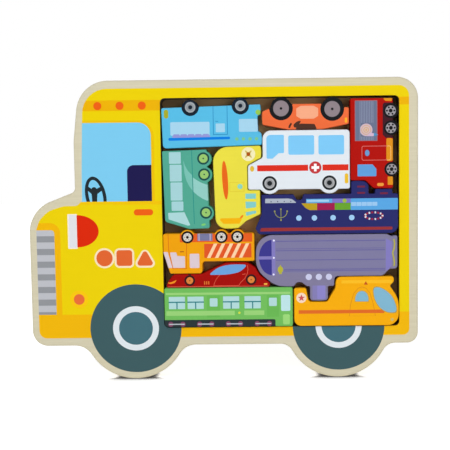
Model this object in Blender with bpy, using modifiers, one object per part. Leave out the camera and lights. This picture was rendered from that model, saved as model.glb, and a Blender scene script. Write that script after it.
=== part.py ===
"""Wooden block puzzle: a bus-shaped tray whose window is packed with twelve thick vehicle blocks.

The bus stands on its two wheels. +X is to the right seen from the printed face, +Z is up, and the
printed face looks towards -Y. All sizes are in metres. The blocks lock into each other: each one's
place is worked out from its neighbours and the play between them.
"""

import math

import bmesh
import bpy
from mathutils import Matrix, Vector

# Boards and blocks, front to back
BACK_BOARD_THICKNESS = 0.004
FRAME_BOARD_THICKNESS = 0.016
GLUE_LINE = 0.0003
BLOCK_THICKNESS = 0.0175
BLOCK_SEAT = 0.0003
BOARD_EDGE_ROUNDING = 0.0018
BLOCK_EDGE_CHAMFER = 0.0005

# Play between neighbouring blocks, and the wider play where a block is left loose
BLOCK_PLAY = 0.0005
LOOSE_PLAY = 0.001

# Bus outline round the window
BUMPER_FROM_WINDOW = 0.1031
REAR_RAIL = 0.0146
TOP_RAIL = 0.0140
SILL_RAIL = 0.0138
WHEEL_RADIUS = 0.0405
GROUND_CLEARANCE = 0.0262
FRONT_WHEEL_FROM_WINDOW = 0.0230
REAR_WHEEL_FROM_WINDOW_END = 0.0476
FRONT_ARCH_FILLET = 0.0155
REAR_ARCH_FILLET = 0.0105
CAB_FACE_FROM_WINDOW = 0.0671
CAB_FACE_UPRIGHT = 0.146
CAB_FACE_LEAN_BACK = 0.0036
CAB_FACE_BEND = 0.060
CAB_BROW_DROP = 0.0140
CAB_BROW_RUN = 0.0083
CAB_BROW_FILLET = 0.014
CAB_ROOF_DROP = 0.0033
CAB_ROOF_RUN = 0.022
CAB_FOOT_FILLET = 0.0045
BONNET_ROOT_HEIGHT = 0.1063
BONNET_NOSE_HEIGHT = 0.0924
BONNET_NOSE_RADIUS = 0.0257
BUMPER_CORNER_RADIUS = 0.012
REAR_CORNER_RADIUS = 0.013
REAR_ROOF_RADIUS = 0.016
WINDOW_CORNER_RADIUS = 0.0035

# Train and helicopter, the bottom row
TRAIN_LENGTH = 0.0994
TRAIN_HEIGHT = 0.0305
HELICOPTER_HEIGHT = 0.0381
HELICOPTER_FIN_HEIGHT = 0.0295
HELICOPTER_FIN_WIDTH = 0.0094
HELICOPTER_ROTOR_DEPTH = 0.0042
HELICOPTER_ROTOR_OVERHANG = 0.0031
HELICOPTER_ROTOR_FROM_NOSE = 0.0038
HELICOPTER_BELLY_RADIUS = 0.0055
HELICOPTER_CHIN_RADIUS = 0.0085
HELICOPTER_WINDSCREEN_FOOT = 0.0205
HELICOPTER_WINDSCREEN_RADIUS = 0.022
HELICOPTER_SHOULDER_RUN = 0.0058

# Sports car, crane truck and submarine, the second row
SPORTS_CAR_HOOD = 0.0102
SPORTS_CAR_ROOF = 0.0190
SPORTS_CAR_ROOF_START = 0.0479
SPORTS_CAR_ROOF_LENGTH = 0.0165
SPORTS_CAR_ROOF_DROP = 0.0040
SPORTS_CAR_TAIL_UNDER_NOSE = 0.0105
SPORTS_CAR_BOOT_UNDER_NOSE = 0.0035
SPORTS_CAR_NOSE_RISE = 0.0025
SPORTS_CAR_NOSE_RUN = 0.0050
SPORTS_CAR_WINDSCREEN_FILLET = 0.010
SPORTS_CAR_NOSE_INSET = 0.0021
CRANE_LENGTH = 0.0703
CRANE_DECK_HEIGHT = 0.0216
CRANE_CAB_WIDTH = 0.0300
CRANE_WINDSCREEN_SLANT = 0.0050
CRANE_WINDSCREEN_HEIGHT = 0.0163
CRANE_WHEEL_RADIUS = 0.0060
CRANE_WHEEL_INSET = 0.0030
CRANE_WHEEL_PLACES = (0.0188, 0.0450, 0.0573)
SUBMARINE_HEIGHT = 0.0323
SUBMARINE_NOSE_RADIUS = 0.0175
SUBMARINE_CHIN_RUN = 0.0154
SUBMARINE_CHIN_RISE = 0.0127
SUBMARINE_TOWER_FROM_NOSE = 0.0415
SUBMARINE_TOWER_WIDTH = 0.0138
SUBMARINE_TOWER_DROP = 0.0112
SUBMARINE_ARCH_RISE = 0.0031
SUBMARINE_ARCH_WIDTH = 0.0100
SUBMARINE_SHOULDER_RUN = 0.0048
SUBMARINE_TAIL_LENGTH = 0.0111
SUBMARINE_TAIL_RISE = 0.0053
SUBMARINE_TAIL_DIP = 0.0018

# Ship, the third row
SHIP_HEIGHT = 0.0304
SHIP_BOW_HEIGHT = 0.0157
SHIP_STERN_RADIUS = 0.006
SHIP_TALL_FUNNEL = 0.0097
SHIP_SHORT_FUNNEL = 0.0035
SHIP_FUNNEL_WIDTH = 0.0132
SHIP_FUNNEL_GAP = 0.0050
SHIP_FORE_DECK = 0.0246
SHIP_WELL_WIDTH = 0.0078
SHIP_WELL_DEPTH = 0.0042

# Coach, airplane and camper, the stack on the left that leans by this many degrees
STACK_LEAN = 1.5
COACH_LENGTH = 0.0604
COACH_WIDTH = 0.0340
COACH_WHEEL_RADIUS = 0.0062
COACH_WHEEL_INSET = 0.00245
COACH_WHEEL_PLACES = (0.0117, 0.0412, 0.0533)
COACH_WINDSCREEN_RISE = 0.0063
COACH_WINDSCREEN_RUN = 0.0183
AIRPLANE_LENGTH = 0.0625
AIRPLANE_SETBACK = 0.0008
AIRPLANE_TAIL_SETBACK = 0.0022
AIRPLANE_BELLY_FLAT = 0.0172
AIRPLANE_TAIL_BEND_RUN = 0.0238
AIRPLANE_TAIL_BEND_RISE = 0.0054
AIRPLANE_END_RADIUS = 0.0085
CAMPER_LENGTH = 0.0757
CAMPER_HEIGHT = 0.0307
CAMPER_WHEEL_RADIUS = 0.0061
CAMPER_WHEEL_INSET = 0.0006
CAMPER_WHEEL_PLACES = (0.0219, 0.0602)
CAMPER_WINDSCREEN_DEPTH = 0.0025
CAMPER_WINDSCREEN_FOOT = 0.0105
CAMPER_WINDSCREEN_HEIGHT = 0.0115

# Ambulance, race car and fire truck, the upper right
AMBULANCE_HEIGHT = 0.0485
AMBULANCE_BODY_CLEARANCE = 0.0035
AMBULANCE_BONNET_LENGTH = 0.0114
AMBULANCE_BONNET_HEIGHT = 0.0184
AMBULANCE_BONNET_RISE = 0.0060
AMBULANCE_FRONT_RADIUS = 0.0065
AMBULANCE_WHEEL_RADIUS = 0.0083
AMBULANCE_WHEEL_PLACES = (0.0164, 0.0622)
RACE_CAR_LENGTH = 0.0660
RACE_CAR_BODY_HEIGHT = 0.0193
RACE_CAR_SIDE_RISE = 0.0039
RACE_CAR_ROOF_START = 0.0195
RACE_CAR_ROOF_END = 0.0460
RACE_CAR_NOSE_HEIGHT = 0.0138
RACE_CAR_TAIL_HEIGHT = 0.0164
RACE_CAR_WHEEL_RADIUS = 0.0082
RACE_CAR_WHEEL_INSET = 0.0031
RACE_CAR_WHEEL_PLACES = (0.0145, 0.0537)
FIRE_TRUCK_LENGTH = 0.0684
FIRE_TRUCK_BODY = 0.0324
FIRE_TRUCK_WINDSCREEN_RUN = 0.0064
FIRE_TRUCK_WHEEL_RADIUS = 0.0058
FIRE_TRUCK_WHEEL_INSET = 0.0015
FIRE_TRUCK_WHEEL_PLACES = (0.0146, 0.0461, 0.0588)

# Fillets that several outlines share, and how far an arc's facets may stray from the round
TIGHT_FILLET = 0.001
SMALL_FILLET = 0.0015
SOFT_FILLET = 0.0025
WIDE_FILLET = 0.005
WHEEL_FILLET = 0.0008
ARC_TOLERANCE = 0.00005
# How far the window's cutter stands out of the frame board at each side
CUTTER_OVERSHOOT = 0.005

# Places in the window, from its lower left corner, x to the right and z up.
# The left column is built up from the train, the right one from the helicopter.
train_top = BLOCK_PLAY + TRAIN_HEIGHT
train_end = BLOCK_PLAY + TRAIN_LENGTH
sports_foot = train_top + BLOCK_PLAY
hood_top = sports_foot + SPORTS_CAR_HOOD
roof_top = sports_foot + SPORTS_CAR_ROOF
crane_start = BLOCK_PLAY
crane_end = crane_start + CRANE_LENGTH
crane_cab_foot = hood_top + BLOCK_PLAY
crane_deck_foot = roof_top + LOOSE_PLAY
crane_top = crane_deck_foot + CRANE_DECK_HEIGHT
crane_wheel_top = crane_top - CRANE_WHEEL_INSET + CRANE_WHEEL_RADIUS

helicopter_start = train_end + LOOSE_PLAY
helicopter_top = BLOCK_PLAY + HELICOPTER_HEIGHT
submarine_start = crane_end + LOOSE_PLAY
submarine_belly = train_top + BLOCK_PLAY
submarine_keel = helicopter_top + BLOCK_PLAY
submarine_top = submarine_keel + SUBMARINE_HEIGHT
tower_start = submarine_start + SUBMARINE_TOWER_FROM_NOSE
tower_end = tower_start + SUBMARINE_TOWER_WIDTH
tower_foot = submarine_belly - SUBMARINE_TOWER_DROP
ship_foot = submarine_top + BLOCK_PLAY
ship_top = ship_foot + SHIP_HEIGHT

# The leaning stack turns about the top of the crane truck's middle wheel, and its own places are from there
lean = math.radians(STACK_LEAN)
pivot_x = crane_start + CRANE_WHEEL_PLACES[1]
pivot_z = crane_wheel_top
airplane_foot = BLOCK_PLAY
airplane_top = airplane_foot + AIRPLANE_LENGTH
camper_foot = airplane_top + BLOCK_PLAY
camper_top = camper_foot + CAMPER_HEIGHT
camper_start = LOOSE_PLAY - pivot_x + camper_top * math.sin(lean)
camper_end = camper_start + CAMPER_LENGTH
coach_foot = BLOCK_PLAY + (pivot_x - crane_start - CRANE_WHEEL_PLACES[0]) * math.sin(lean)
coach_top = coach_foot + COACH_LENGTH
coach_start = LOOSE_PLAY - pivot_x + coach_top * math.sin(lean)
coach_side = coach_start + COACH_WIDTH
airplane_start = coach_side - COACH_WHEEL_INSET + COACH_WHEEL_RADIUS + LOOSE_PLAY
airplane_end = camper_end - AIRPLANE_SETBACK
airplane_tail_end = airplane_end - AIRPLANE_TAIL_SETBACK


def from_stack(x, z):
    """A place in the leaning stack, as a place in the window."""
    return (
        pivot_x + x * math.cos(lean) - z * math.sin(lean),
        pivot_z + x * math.sin(lean) + z * math.cos(lean),
    )


def to_stack(x, z):
    """A place in the window, as a place in the leaning stack."""
    right = x - pivot_x
    up = z - pivot_z
    return (
        right * math.cos(lean) + up * math.sin(lean),
        up * math.cos(lean) - right * math.sin(lean),
    )


column_start = from_stack(camper_end, camper_foot)[0] + BLOCK_PLAY
race_car_end = column_start + RACE_CAR_LENGTH
truck_start = race_car_end + LOOSE_PLAY
ambulance_end = truck_start - BLOCK_PLAY
bonnet_start = column_start - AMBULANCE_BONNET_LENGTH
ambulance_foot = ship_top + BLOCK_PLAY
ambulance_sill = ambulance_foot + AMBULANCE_BODY_CLEARANCE
ambulance_roof = ambulance_foot + AMBULANCE_HEIGHT
race_car_foot = ambulance_roof + BLOCK_PLAY
race_car_top = race_car_foot + RACE_CAR_BODY_HEIGHT
truck_nose = ship_top + SHIP_SHORT_FUNNEL + BLOCK_PLAY
truck_step = ship_top + SHIP_TALL_FUNNEL + BLOCK_PLAY
truck_top = truck_nose + FIRE_TRUCK_LENGTH
truck_side = truck_start + FIRE_TRUCK_BODY
truck_wheel_side = truck_side - FIRE_TRUCK_WHEEL_INSET + FIRE_TRUCK_WHEEL_RADIUS

camper_wheel_top = from_stack(
    camper_start + CAMPER_WHEEL_PLACES[1],
    camper_top - CAMPER_WHEEL_INSET,
)[1] + CAMPER_WHEEL_RADIUS
race_car_wheel_top = race_car_top - RACE_CAR_WHEEL_INSET + RACE_CAR_WHEEL_RADIUS

window_width = truck_wheel_side + BLOCK_PLAY
window_height = max(camper_wheel_top, race_car_wheel_top, truck_top) + BLOCK_PLAY

helicopter_end = window_width - BLOCK_PLAY
submarine_end = window_width - LOOSE_PLAY - BLOCK_PLAY
ship_end = window_width - LOOSE_PLAY
ship_start = from_stack(airplane_tail_end, 0)[0] + BLOCK_PLAY
bow_tip = crane_end + LOOSE_PLAY
tall_funnel_start = truck_start + BLOCK_PLAY
tall_funnel_end = tall_funnel_start + SHIP_FUNNEL_WIDTH
short_funnel_start = tall_funnel_end + SHIP_FUNNEL_GAP
short_funnel_end = short_funnel_start + SHIP_FUNNEL_WIDTH

# Outside of the bus, from the same corner
bus_front = -BUMPER_FROM_WINDOW
bus_end = window_width + REAR_RAIL
bus_top = window_height + TOP_RAIL
bus_sill = -SILL_RAIL
ground = bus_sill - GROUND_CLEARANCE
window_left = (bus_front - bus_end) / 2 - bus_front
block_seat_y = GLUE_LINE - BLOCK_SEAT
back_y = GLUE_LINE + BACK_BOARD_THICKNESS
corner_y = (BLOCK_THICKNESS - block_seat_y - back_y) / 2


def arc(centre_x, centre_z, radius, start, end):
    """Points along an arc in degrees, close enough together to keep to the tolerance."""
    step = 2 * math.degrees(math.acos(1 - ARC_TOLERANCE / radius))
    count = max(1, math.ceil(abs(end - start) / step))
    points = []
    for index in range(count + 1):
        angle = math.radians(start + (end - start) * index / count)
        points.append((centre_x + radius * math.cos(angle), centre_z + radius * math.sin(angle), 0))
    return points


def wheel_bump(side, place, across, edge, radius, fillet):
    """The round of a wheel standing out of a straight edge, with a fillet at each root.

    place is the wheel's centre along the edge, across its centre square to the edge. The points run
    anticlockwise round the block: +x along the bottom, +z up the right side, -x along the top.
    """
    inset = abs(edge - across)
    spread = math.sqrt((radius + fillet) ** 2 - (inset + fillet) ** 2)
    root = math.degrees(math.atan2(-inset - fillet, spread))
    local = arc(-spread, fillet, fillet, -90, root)
    local += arc(0, -inset, radius, 180 + root, -root)[1:]
    local += arc(spread, fillet, fillet, 180 - root, 270)[1:]
    if side == "bottom":
        return [(place + along, edge - out, 0) for along, out, _ in local]
    if side == "right":
        return [(edge + out, place + along, 0) for along, out, _ in local]
    return [(place - along, edge + out, 0) for along, out, _ in local]


def fillet_corners(corners):
    """Turns corners (x, z, radius) into an outline, with an arc where a radius is given."""
    outline = []
    for index, (x, z, radius) in enumerate(corners):
        corner = Vector((x, z))
        if radius == 0:
            outline.append(corner)
            continue
        back = Vector(corners[index - 1][:2]) - corner
        ahead = Vector(corners[(index + 1) % len(corners)][:2]) - corner
        half_angle = back.angle(ahead) / 2
        reach = min(radius / math.tan(half_angle), back.length * 0.48, ahead.length * 0.48)
        radius = reach * math.tan(half_angle)
        middle = corner + (back.normalized() + ahead.normalized()).normalized() * radius / math.sin(half_angle)
        first = corner + back.normalized() * reach - middle
        last = corner + ahead.normalized() * reach - middle
        start = math.degrees(math.atan2(first.y, first.x))
        turn = math.degrees(math.atan2(first.cross(last), first.dot(last)))
        outline += [Vector((px, pz)) for px, pz, _ in arc(middle.x, middle.y, radius, start, start + turn)]
    return outline


def bus_outline():
    wheel_height = ground + WHEEL_RADIUS
    face = -CAB_FACE_FROM_WINDOW
    brow = face + CAB_FACE_LEAN_BACK
    return [
        (bus_front, bus_sill, BUMPER_CORNER_RADIUS),
        *wheel_bump("bottom", -FRONT_WHEEL_FROM_WINDOW, wheel_height, bus_sill, WHEEL_RADIUS, FRONT_ARCH_FILLET),
        *wheel_bump(
            "bottom", window_width - REAR_WHEEL_FROM_WINDOW_END, wheel_height, bus_sill, WHEEL_RADIUS, REAR_ARCH_FILLET
        ),
        (bus_end, bus_sill, REAR_CORNER_RADIUS),
        (bus_end, bus_top, REAR_ROOF_RADIUS),
        (brow + CAB_BROW_RUN + CAB_ROOF_RUN, bus_top, CAB_FACE_BEND),
        (brow + CAB_BROW_RUN, bus_top - CAB_ROOF_DROP, CAB_BROW_FILLET),
        (brow, bus_top - CAB_BROW_DROP, CAB_BROW_FILLET),
        (face, CAB_FACE_UPRIGHT, CAB_FACE_BEND),
        (face, BONNET_ROOT_HEIGHT, CAB_FOOT_FILLET),
        (bus_front, BONNET_NOSE_HEIGHT, BONNET_NOSE_RADIUS),
    ]


def window_outline():
    return [
        (0, 0, WINDOW_CORNER_RADIUS),
        (window_width, 0, WINDOW_CORNER_RADIUS),
        (window_width, window_height, WINDOW_CORNER_RADIUS),
        (0, window_height, WINDOW_CORNER_RADIUS),
    ]


def train_outline():
    return [
        (BLOCK_PLAY, BLOCK_PLAY, SOFT_FILLET),
        (train_end, BLOCK_PLAY, SMALL_FILLET),
        (train_end, train_top, SMALL_FILLET),
        (BLOCK_PLAY, train_top, SMALL_FILLET),
    ]


def helicopter_outline():
    """Fin, notch for the submarine's tower, rotor bar along the top and a round glazed nose."""
    fin_top = BLOCK_PLAY + HELICOPTER_FIN_HEIGHT
    notch = tower_foot - LOOSE_PLAY
    rotor_foot = helicopter_top - HELICOPTER_ROTOR_DEPTH
    waist = helicopter_end - HELICOPTER_ROTOR_FROM_NOSE - HELICOPTER_ROTOR_OVERHANG
    shoulder = tower_end + HELICOPTER_SHOULDER_RUN
    return [
        (helicopter_start, BLOCK_PLAY, HELICOPTER_BELLY_RADIUS),
        (helicopter_end, BLOCK_PLAY, HELICOPTER_CHIN_RADIUS),
        (helicopter_end, BLOCK_PLAY + HELICOPTER_WINDSCREEN_FOOT, HELICOPTER_WINDSCREEN_RADIUS),
        (waist, rotor_foot - HELICOPTER_ROTOR_OVERHANG, SMALL_FILLET),
        (helicopter_end - HELICOPTER_ROTOR_FROM_NOSE, rotor_foot, SMALL_FILLET),
        (helicopter_end - HELICOPTER_ROTOR_FROM_NOSE, helicopter_top, SOFT_FILLET),
        (shoulder + BLOCK_PLAY, helicopter_top, WIDE_FILLET),
        (shoulder, fin_top, WIDE_FILLET),
        (tower_end - BLOCK_PLAY, notch, SOFT_FILLET),
        (tower_start - LOOSE_PLAY, notch, SOFT_FILLET),
        (helicopter_start + HELICOPTER_FIN_WIDTH, fin_top, SMALL_FILLET),
        (helicopter_start, fin_top, SMALL_FILLET),
    ]


def place_under_nose(run):
    """A place in front of the slope under the submarine's nose, this far under the nose before the gap."""
    slope = Vector((SUBMARINE_CHIN_RUN, -SUBMARINE_CHIN_RISE))
    start = Vector((submarine_start, submarine_belly + SUBMARINE_CHIN_RISE))
    away = Vector((-SUBMARINE_CHIN_RISE, -SUBMARINE_CHIN_RUN)).normalized()
    return start + slope * run / SUBMARINE_CHIN_RUN + away * LOOSE_PLAY


def sports_car_outline():
    """Low hood under the crane truck's cab, and a tail that slopes down under the submarine's nose."""
    nose = BLOCK_PLAY + SPORTS_CAR_NOSE_INSET
    tail = submarine_start + SPORTS_CAR_TAIL_UNDER_NOSE
    tail_low = place_under_nose(SPORTS_CAR_TAIL_UNDER_NOSE)
    tail_high = place_under_nose(SPORTS_CAR_BOOT_UNDER_NOSE)
    roof_start = BLOCK_PLAY + SPORTS_CAR_ROOF_START
    windscreen_foot = crane_start + CRANE_CAB_WIDTH - BLOCK_PLAY
    return [
        (nose, sports_foot, TIGHT_FILLET),
        (tail, sports_foot, TIGHT_FILLET),
        (tail, tail_low.y, SMALL_FILLET),
        (tail_high.x, tail_high.y, WIDE_FILLET),
        (submarine_start - BLOCK_PLAY, roof_top - SPORTS_CAR_ROOF_DROP, WIDE_FILLET),
        (roof_start + SPORTS_CAR_ROOF_LENGTH, roof_top, WIDE_FILLET),
        (roof_start, roof_top, SPORTS_CAR_WINDSCREEN_FILLET),
        (windscreen_foot, hood_top, SPORTS_CAR_WINDSCREEN_FILLET),
        (nose + SPORTS_CAR_NOSE_RUN, hood_top, WIDE_FILLET),
        (nose, sports_foot + SPORTS_CAR_NOSE_RISE, WIDE_FILLET),
    ]


def crane_truck_outline():
    """Upside down: cab reaching down at the left, wheels along the top."""
    wheels = []
    for place in reversed(CRANE_WHEEL_PLACES):
        centre = crane_top - CRANE_WHEEL_INSET
        wheels += wheel_bump("top", crane_start + place, centre, crane_top, CRANE_WHEEL_RADIUS, WHEEL_FILLET)
    cab_end = crane_start + CRANE_CAB_WIDTH
    return [
        (crane_start + CRANE_WINDSCREEN_SLANT, crane_cab_foot, SMALL_FILLET),
        (cab_end, crane_cab_foot, SOFT_FILLET),
        (cab_end, crane_deck_foot, SOFT_FILLET),
        (crane_end, crane_deck_foot, SMALL_FILLET),
        (crane_end, crane_top, SMALL_FILLET),
        *wheels,
        (crane_start, crane_top, SMALL_FILLET),
        (crane_start, crane_cab_foot + CRANE_WINDSCREEN_HEIGHT, SOFT_FILLET),
    ]


def submarine_outline():
    """Upside down: round nose at the left, tower reaching down into the helicopter's notch."""
    arch_start = tower_start - SUBMARINE_ARCH_WIDTH - SOFT_FILLET
    arch_top = submarine_belly + SUBMARINE_ARCH_RISE
    shoulder = tower_end + SUBMARINE_SHOULDER_RUN
    tail_start = submarine_end - SUBMARINE_TAIL_LENGTH
    tail_foot = submarine_keel + SUBMARINE_TAIL_RISE
    tail_top = submarine_top - LOOSE_PLAY
    return [
        (submarine_start + SUBMARINE_CHIN_RUN, submarine_belly, SUBMARINE_NOSE_RADIUS),
        (arch_start, submarine_belly, SMALL_FILLET),
        (arch_start + SOFT_FILLET, arch_top, SOFT_FILLET),
        (tower_start - WIDE_FILLET - SMALL_FILLET, arch_top, SOFT_FILLET),
        (tower_start - SOFT_FILLET, submarine_belly, SOFT_FILLET),
        (tower_start, submarine_belly, TIGHT_FILLET),
        (tower_start, tower_foot, SOFT_FILLET),
        (tower_end, tower_foot, SOFT_FILLET),
        (tower_end, submarine_belly, TIGHT_FILLET),
        (shoulder, submarine_belly, SMALL_FILLET),
        (shoulder + BLOCK_PLAY, submarine_keel, SOFT_FILLET),
        (tail_start, submarine_keel, WIDE_FILLET),
        (tail_start + WIDE_FILLET, tail_foot, SOFT_FILLET),
        (submarine_end, tail_foot, SOFT_FILLET),
        (submarine_end, tail_top, SMALL_FILLET),
        (tail_start + WIDE_FILLET + SMALL_FILLET, submarine_top - SUBMARINE_TAIL_DIP, SOFT_FILLET),
        (tail_start + SOFT_FILLET, submarine_top, WIDE_FILLET),
        (submarine_start, submarine_top, SUBMARINE_NOSE_RADIUS),
        (submarine_start, submarine_belly + SUBMARINE_CHIN_RISE, SUBMARINE_NOSE_RADIUS),
    ]


def ship_outline():
    """Raked bow at the left, a well in the deck, and two funnels under the fire truck."""
    well_start = ship_start + SHIP_FORE_DECK
    well_end = well_start + SHIP_WELL_WIDTH
    well_floor = ship_top - SHIP_WELL_DEPTH
    tall_top = ship_top + SHIP_TALL_FUNNEL
    short_top = ship_top + SHIP_SHORT_FUNNEL
    return [
        (bow_tip + SOFT_FILLET, ship_foot, SOFT_FILLET),
        (ship_end, ship_foot, SHIP_STERN_RADIUS),
        (ship_end, ship_top, SMALL_FILLET),
        (short_funnel_end, ship_top, WHEEL_FILLET),
        (short_funnel_end, short_top, TIGHT_FILLET),
        (short_funnel_start, short_top, TIGHT_FILLET),
        (short_funnel_start, ship_top, WHEEL_FILLET),
        (tall_funnel_end, ship_top, WHEEL_FILLET),
        (tall_funnel_end, tall_top, WIDE_FILLET),
        (tall_funnel_start, tall_top, TIGHT_FILLET),
        (tall_funnel_start, ship_top, WHEEL_FILLET),
        (well_end, ship_top, TIGHT_FILLET),
        (well_end - SMALL_FILLET, well_floor, TIGHT_FILLET),
        (well_start + SOFT_FILLET, well_floor, TIGHT_FILLET),
        (well_start, ship_top, TIGHT_FILLET),
        (ship_start, ship_top, TIGHT_FILLET),
        (ship_start, ship_foot + SHIP_BOW_HEIGHT, WIDE_FILLET),
        (bow_tip, ship_foot + WIDE_FILLET - BLOCK_PLAY, SMALL_FILLET),
    ]


def coach_outline():
    """On its front: flat roof at the left, wheels at the right, sloping windscreen at the bottom."""
    wheels = []
    for place in COACH_WHEEL_PLACES:
        centre = coach_side - COACH_WHEEL_INSET
        wheels += wheel_bump("right", coach_foot + place, centre, coach_side, COACH_WHEEL_RADIUS, BLOCK_PLAY / 2)
    return [
        (coach_start, coach_foot + COACH_WINDSCREEN_RISE, SOFT_FILLET),
        (coach_start + COACH_WINDSCREEN_RUN, coach_foot, SOFT_FILLET),
        (coach_side, coach_foot, SMALL_FILLET),
        *wheels,
        (coach_side, coach_top, TIGHT_FILLET),
        (coach_start, coach_top, TIGHT_FILLET),
    ]


def airplane_outline():
    """Turned a quarter: round at both ends on the left, with a notch on the right for the ambulance's bonnet."""
    notch_side = bonnet_start - BLOCK_PLAY
    notch_foot = ambulance_sill - BLOCK_PLAY
    notch_top = ambulance_sill + AMBULANCE_BONNET_HEIGHT + BLOCK_PLAY
    slope = AMBULANCE_BONNET_RISE / AMBULANCE_BONNET_LENGTH
    mouth = from_stack(airplane_end, airplane_top)[0]
    mouth_high = notch_top + (mouth - notch_side) * slope
    mouth_low = from_stack(airplane_tail_end, 0)[0] - BLOCK_PLAY
    tail_corner = to_stack(0, ship_foot + SHIP_BOW_HEIGHT)[1] - (airplane_tail_end + pivot_x) * math.sin(lean)
    belly_start = airplane_start
    bend = (airplane_start + AIRPLANE_TAIL_BEND_RUN, airplane_foot + AIRPLANE_TAIL_BEND_RISE)
    return [
        (belly_start, airplane_foot, AIRPLANE_END_RADIUS),
        (belly_start + AIRPLANE_BELLY_FLAT, airplane_foot, SOFT_FILLET),
        (bend[0], bend[1], WIDE_FILLET),
        (airplane_tail_end, tail_corner, SMALL_FILLET),
        (*to_stack(mouth_low, notch_foot), TIGHT_FILLET),
        (*to_stack(notch_side, notch_foot), SMALL_FILLET),
        (*to_stack(notch_side, notch_top), SOFT_FILLET),
        (*to_stack(mouth, mouth_high), TIGHT_FILLET),
        (airplane_end, airplane_top, SMALL_FILLET),
        (belly_start, airplane_top, AIRPLANE_END_RADIUS),
    ]


def camper_outline():
    """Upside down: wheels along the top, windscreen set back in the right side."""
    wheels = []
    for place in reversed(CAMPER_WHEEL_PLACES):
        centre = camper_top - CAMPER_WHEEL_INSET
        wheels += wheel_bump("top", camper_start + place, centre, camper_top, CAMPER_WHEEL_RADIUS, WHEEL_FILLET)
    glass = camper_end - CAMPER_WINDSCREEN_DEPTH
    glass_foot = camper_foot + CAMPER_WINDSCREEN_FOOT
    glass_top = glass_foot + CAMPER_WINDSCREEN_HEIGHT
    return [
        (camper_start, camper_foot, SMALL_FILLET),
        (camper_end, camper_foot, TIGHT_FILLET),
        (camper_end, glass_foot - SMALL_FILLET, TIGHT_FILLET),
        (glass, glass_foot, SMALL_FILLET),
        (glass, glass_top, SMALL_FILLET),
        (camper_end, glass_top + SMALL_FILLET, TIGHT_FILLET),
        (camper_end, camper_top, TIGHT_FILLET),
        *wheels,
        (camper_start, camper_top, SMALL_FILLET),
    ]


def ambulance_outline():
    """Upright, with a bonnet that fills the airplane's notch and two wheel arches below."""
    wheels = []
    for place in AMBULANCE_WHEEL_PLACES:
        centre = ambulance_foot + AMBULANCE_WHEEL_RADIUS
        wheels += wheel_bump(
            "bottom", bonnet_start + place, centre, ambulance_sill, AMBULANCE_WHEEL_RADIUS, SOFT_FILLET
        )
    bonnet_top = ambulance_sill + AMBULANCE_BONNET_HEIGHT
    return [
        (bonnet_start, ambulance_sill, SMALL_FILLET),
        *wheels,
        (ambulance_end, ambulance_sill, SMALL_FILLET),
        (ambulance_end, ambulance_roof, SOFT_FILLET),
        (column_start, ambulance_roof, AMBULANCE_FRONT_RADIUS),
        (column_start, bonnet_top + AMBULANCE_BONNET_RISE, SOFT_FILLET),
        (bonnet_start, bonnet_top, SOFT_FILLET),
    ]


def race_car_outline():
    """Upside down: big wheels at the top standing out of a low body."""
    side = race_car_foot + RACE_CAR_SIDE_RISE
    nose_top = race_car_foot + RACE_CAR_NOSE_HEIGHT
    tail_top = race_car_foot + RACE_CAR_TAIL_HEIGHT
    centre = race_car_top - RACE_CAR_WHEEL_INSET
    front, rear = (column_start + place for place in RACE_CAR_WHEEL_PLACES)
    radius = RACE_CAR_WHEEL_RADIUS
    inner = math.degrees(math.asin(RACE_CAR_WHEEL_INSET / radius))
    outer = math.degrees(math.asin((tail_top - centre) / radius))
    return [
        (column_start, side, SMALL_FILLET),
        (column_start + RACE_CAR_ROOF_START, race_car_foot, WIDE_FILLET),
        (column_start + RACE_CAR_ROOF_END, race_car_foot, WIDE_FILLET),
        (race_car_end, side, SMALL_FILLET),
        (race_car_end, tail_top, SMALL_FILLET),
        *arc(rear, centre, radius, outer, 180 - inner),
        *arc(front, centre, radius, inner, 180 - outer),
        (column_start, nose_top, SMALL_FILLET),
    ]


def fire_truck_outline():
    """On its front: wheels at the right, cab stepping down over the ship's funnels."""
    wheels = []
    for place in FIRE_TRUCK_WHEEL_PLACES:
        centre = truck_side - FIRE_TRUCK_WHEEL_INSET
        wheels += wheel_bump("right", truck_nose + place, centre, truck_side, FIRE_TRUCK_WHEEL_RADIUS, BLOCK_PLAY)
    step_end = tall_funnel_end - SOFT_FILLET
    return [
        (truck_start, truck_step, SMALL_FILLET),
        (step_end, truck_step, SOFT_FILLET),
        (step_end + FIRE_TRUCK_WINDSCREEN_RUN, truck_nose, WIDE_FILLET),
        (truck_side, truck_nose, SMALL_FILLET),
        *wheels,
        (truck_side, truck_top, SMALL_FILLET),
        (truck_start, truck_top, TIGHT_FILLET),
    ]


def wood_finish(name, colour, roughness):
    """A plain wood or paint finish for one piece."""
    material = bpy.data.materials.new(name + "_finish")
    material.use_nodes = True
    shader = material.node_tree.nodes["Principled BSDF"]
    shader.inputs["Base Color"].default_value = (*colour, 1)
    shader.inputs["Roughness"].default_value = roughness
    shader.inputs["Metallic"].default_value = 0
    return material


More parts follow.
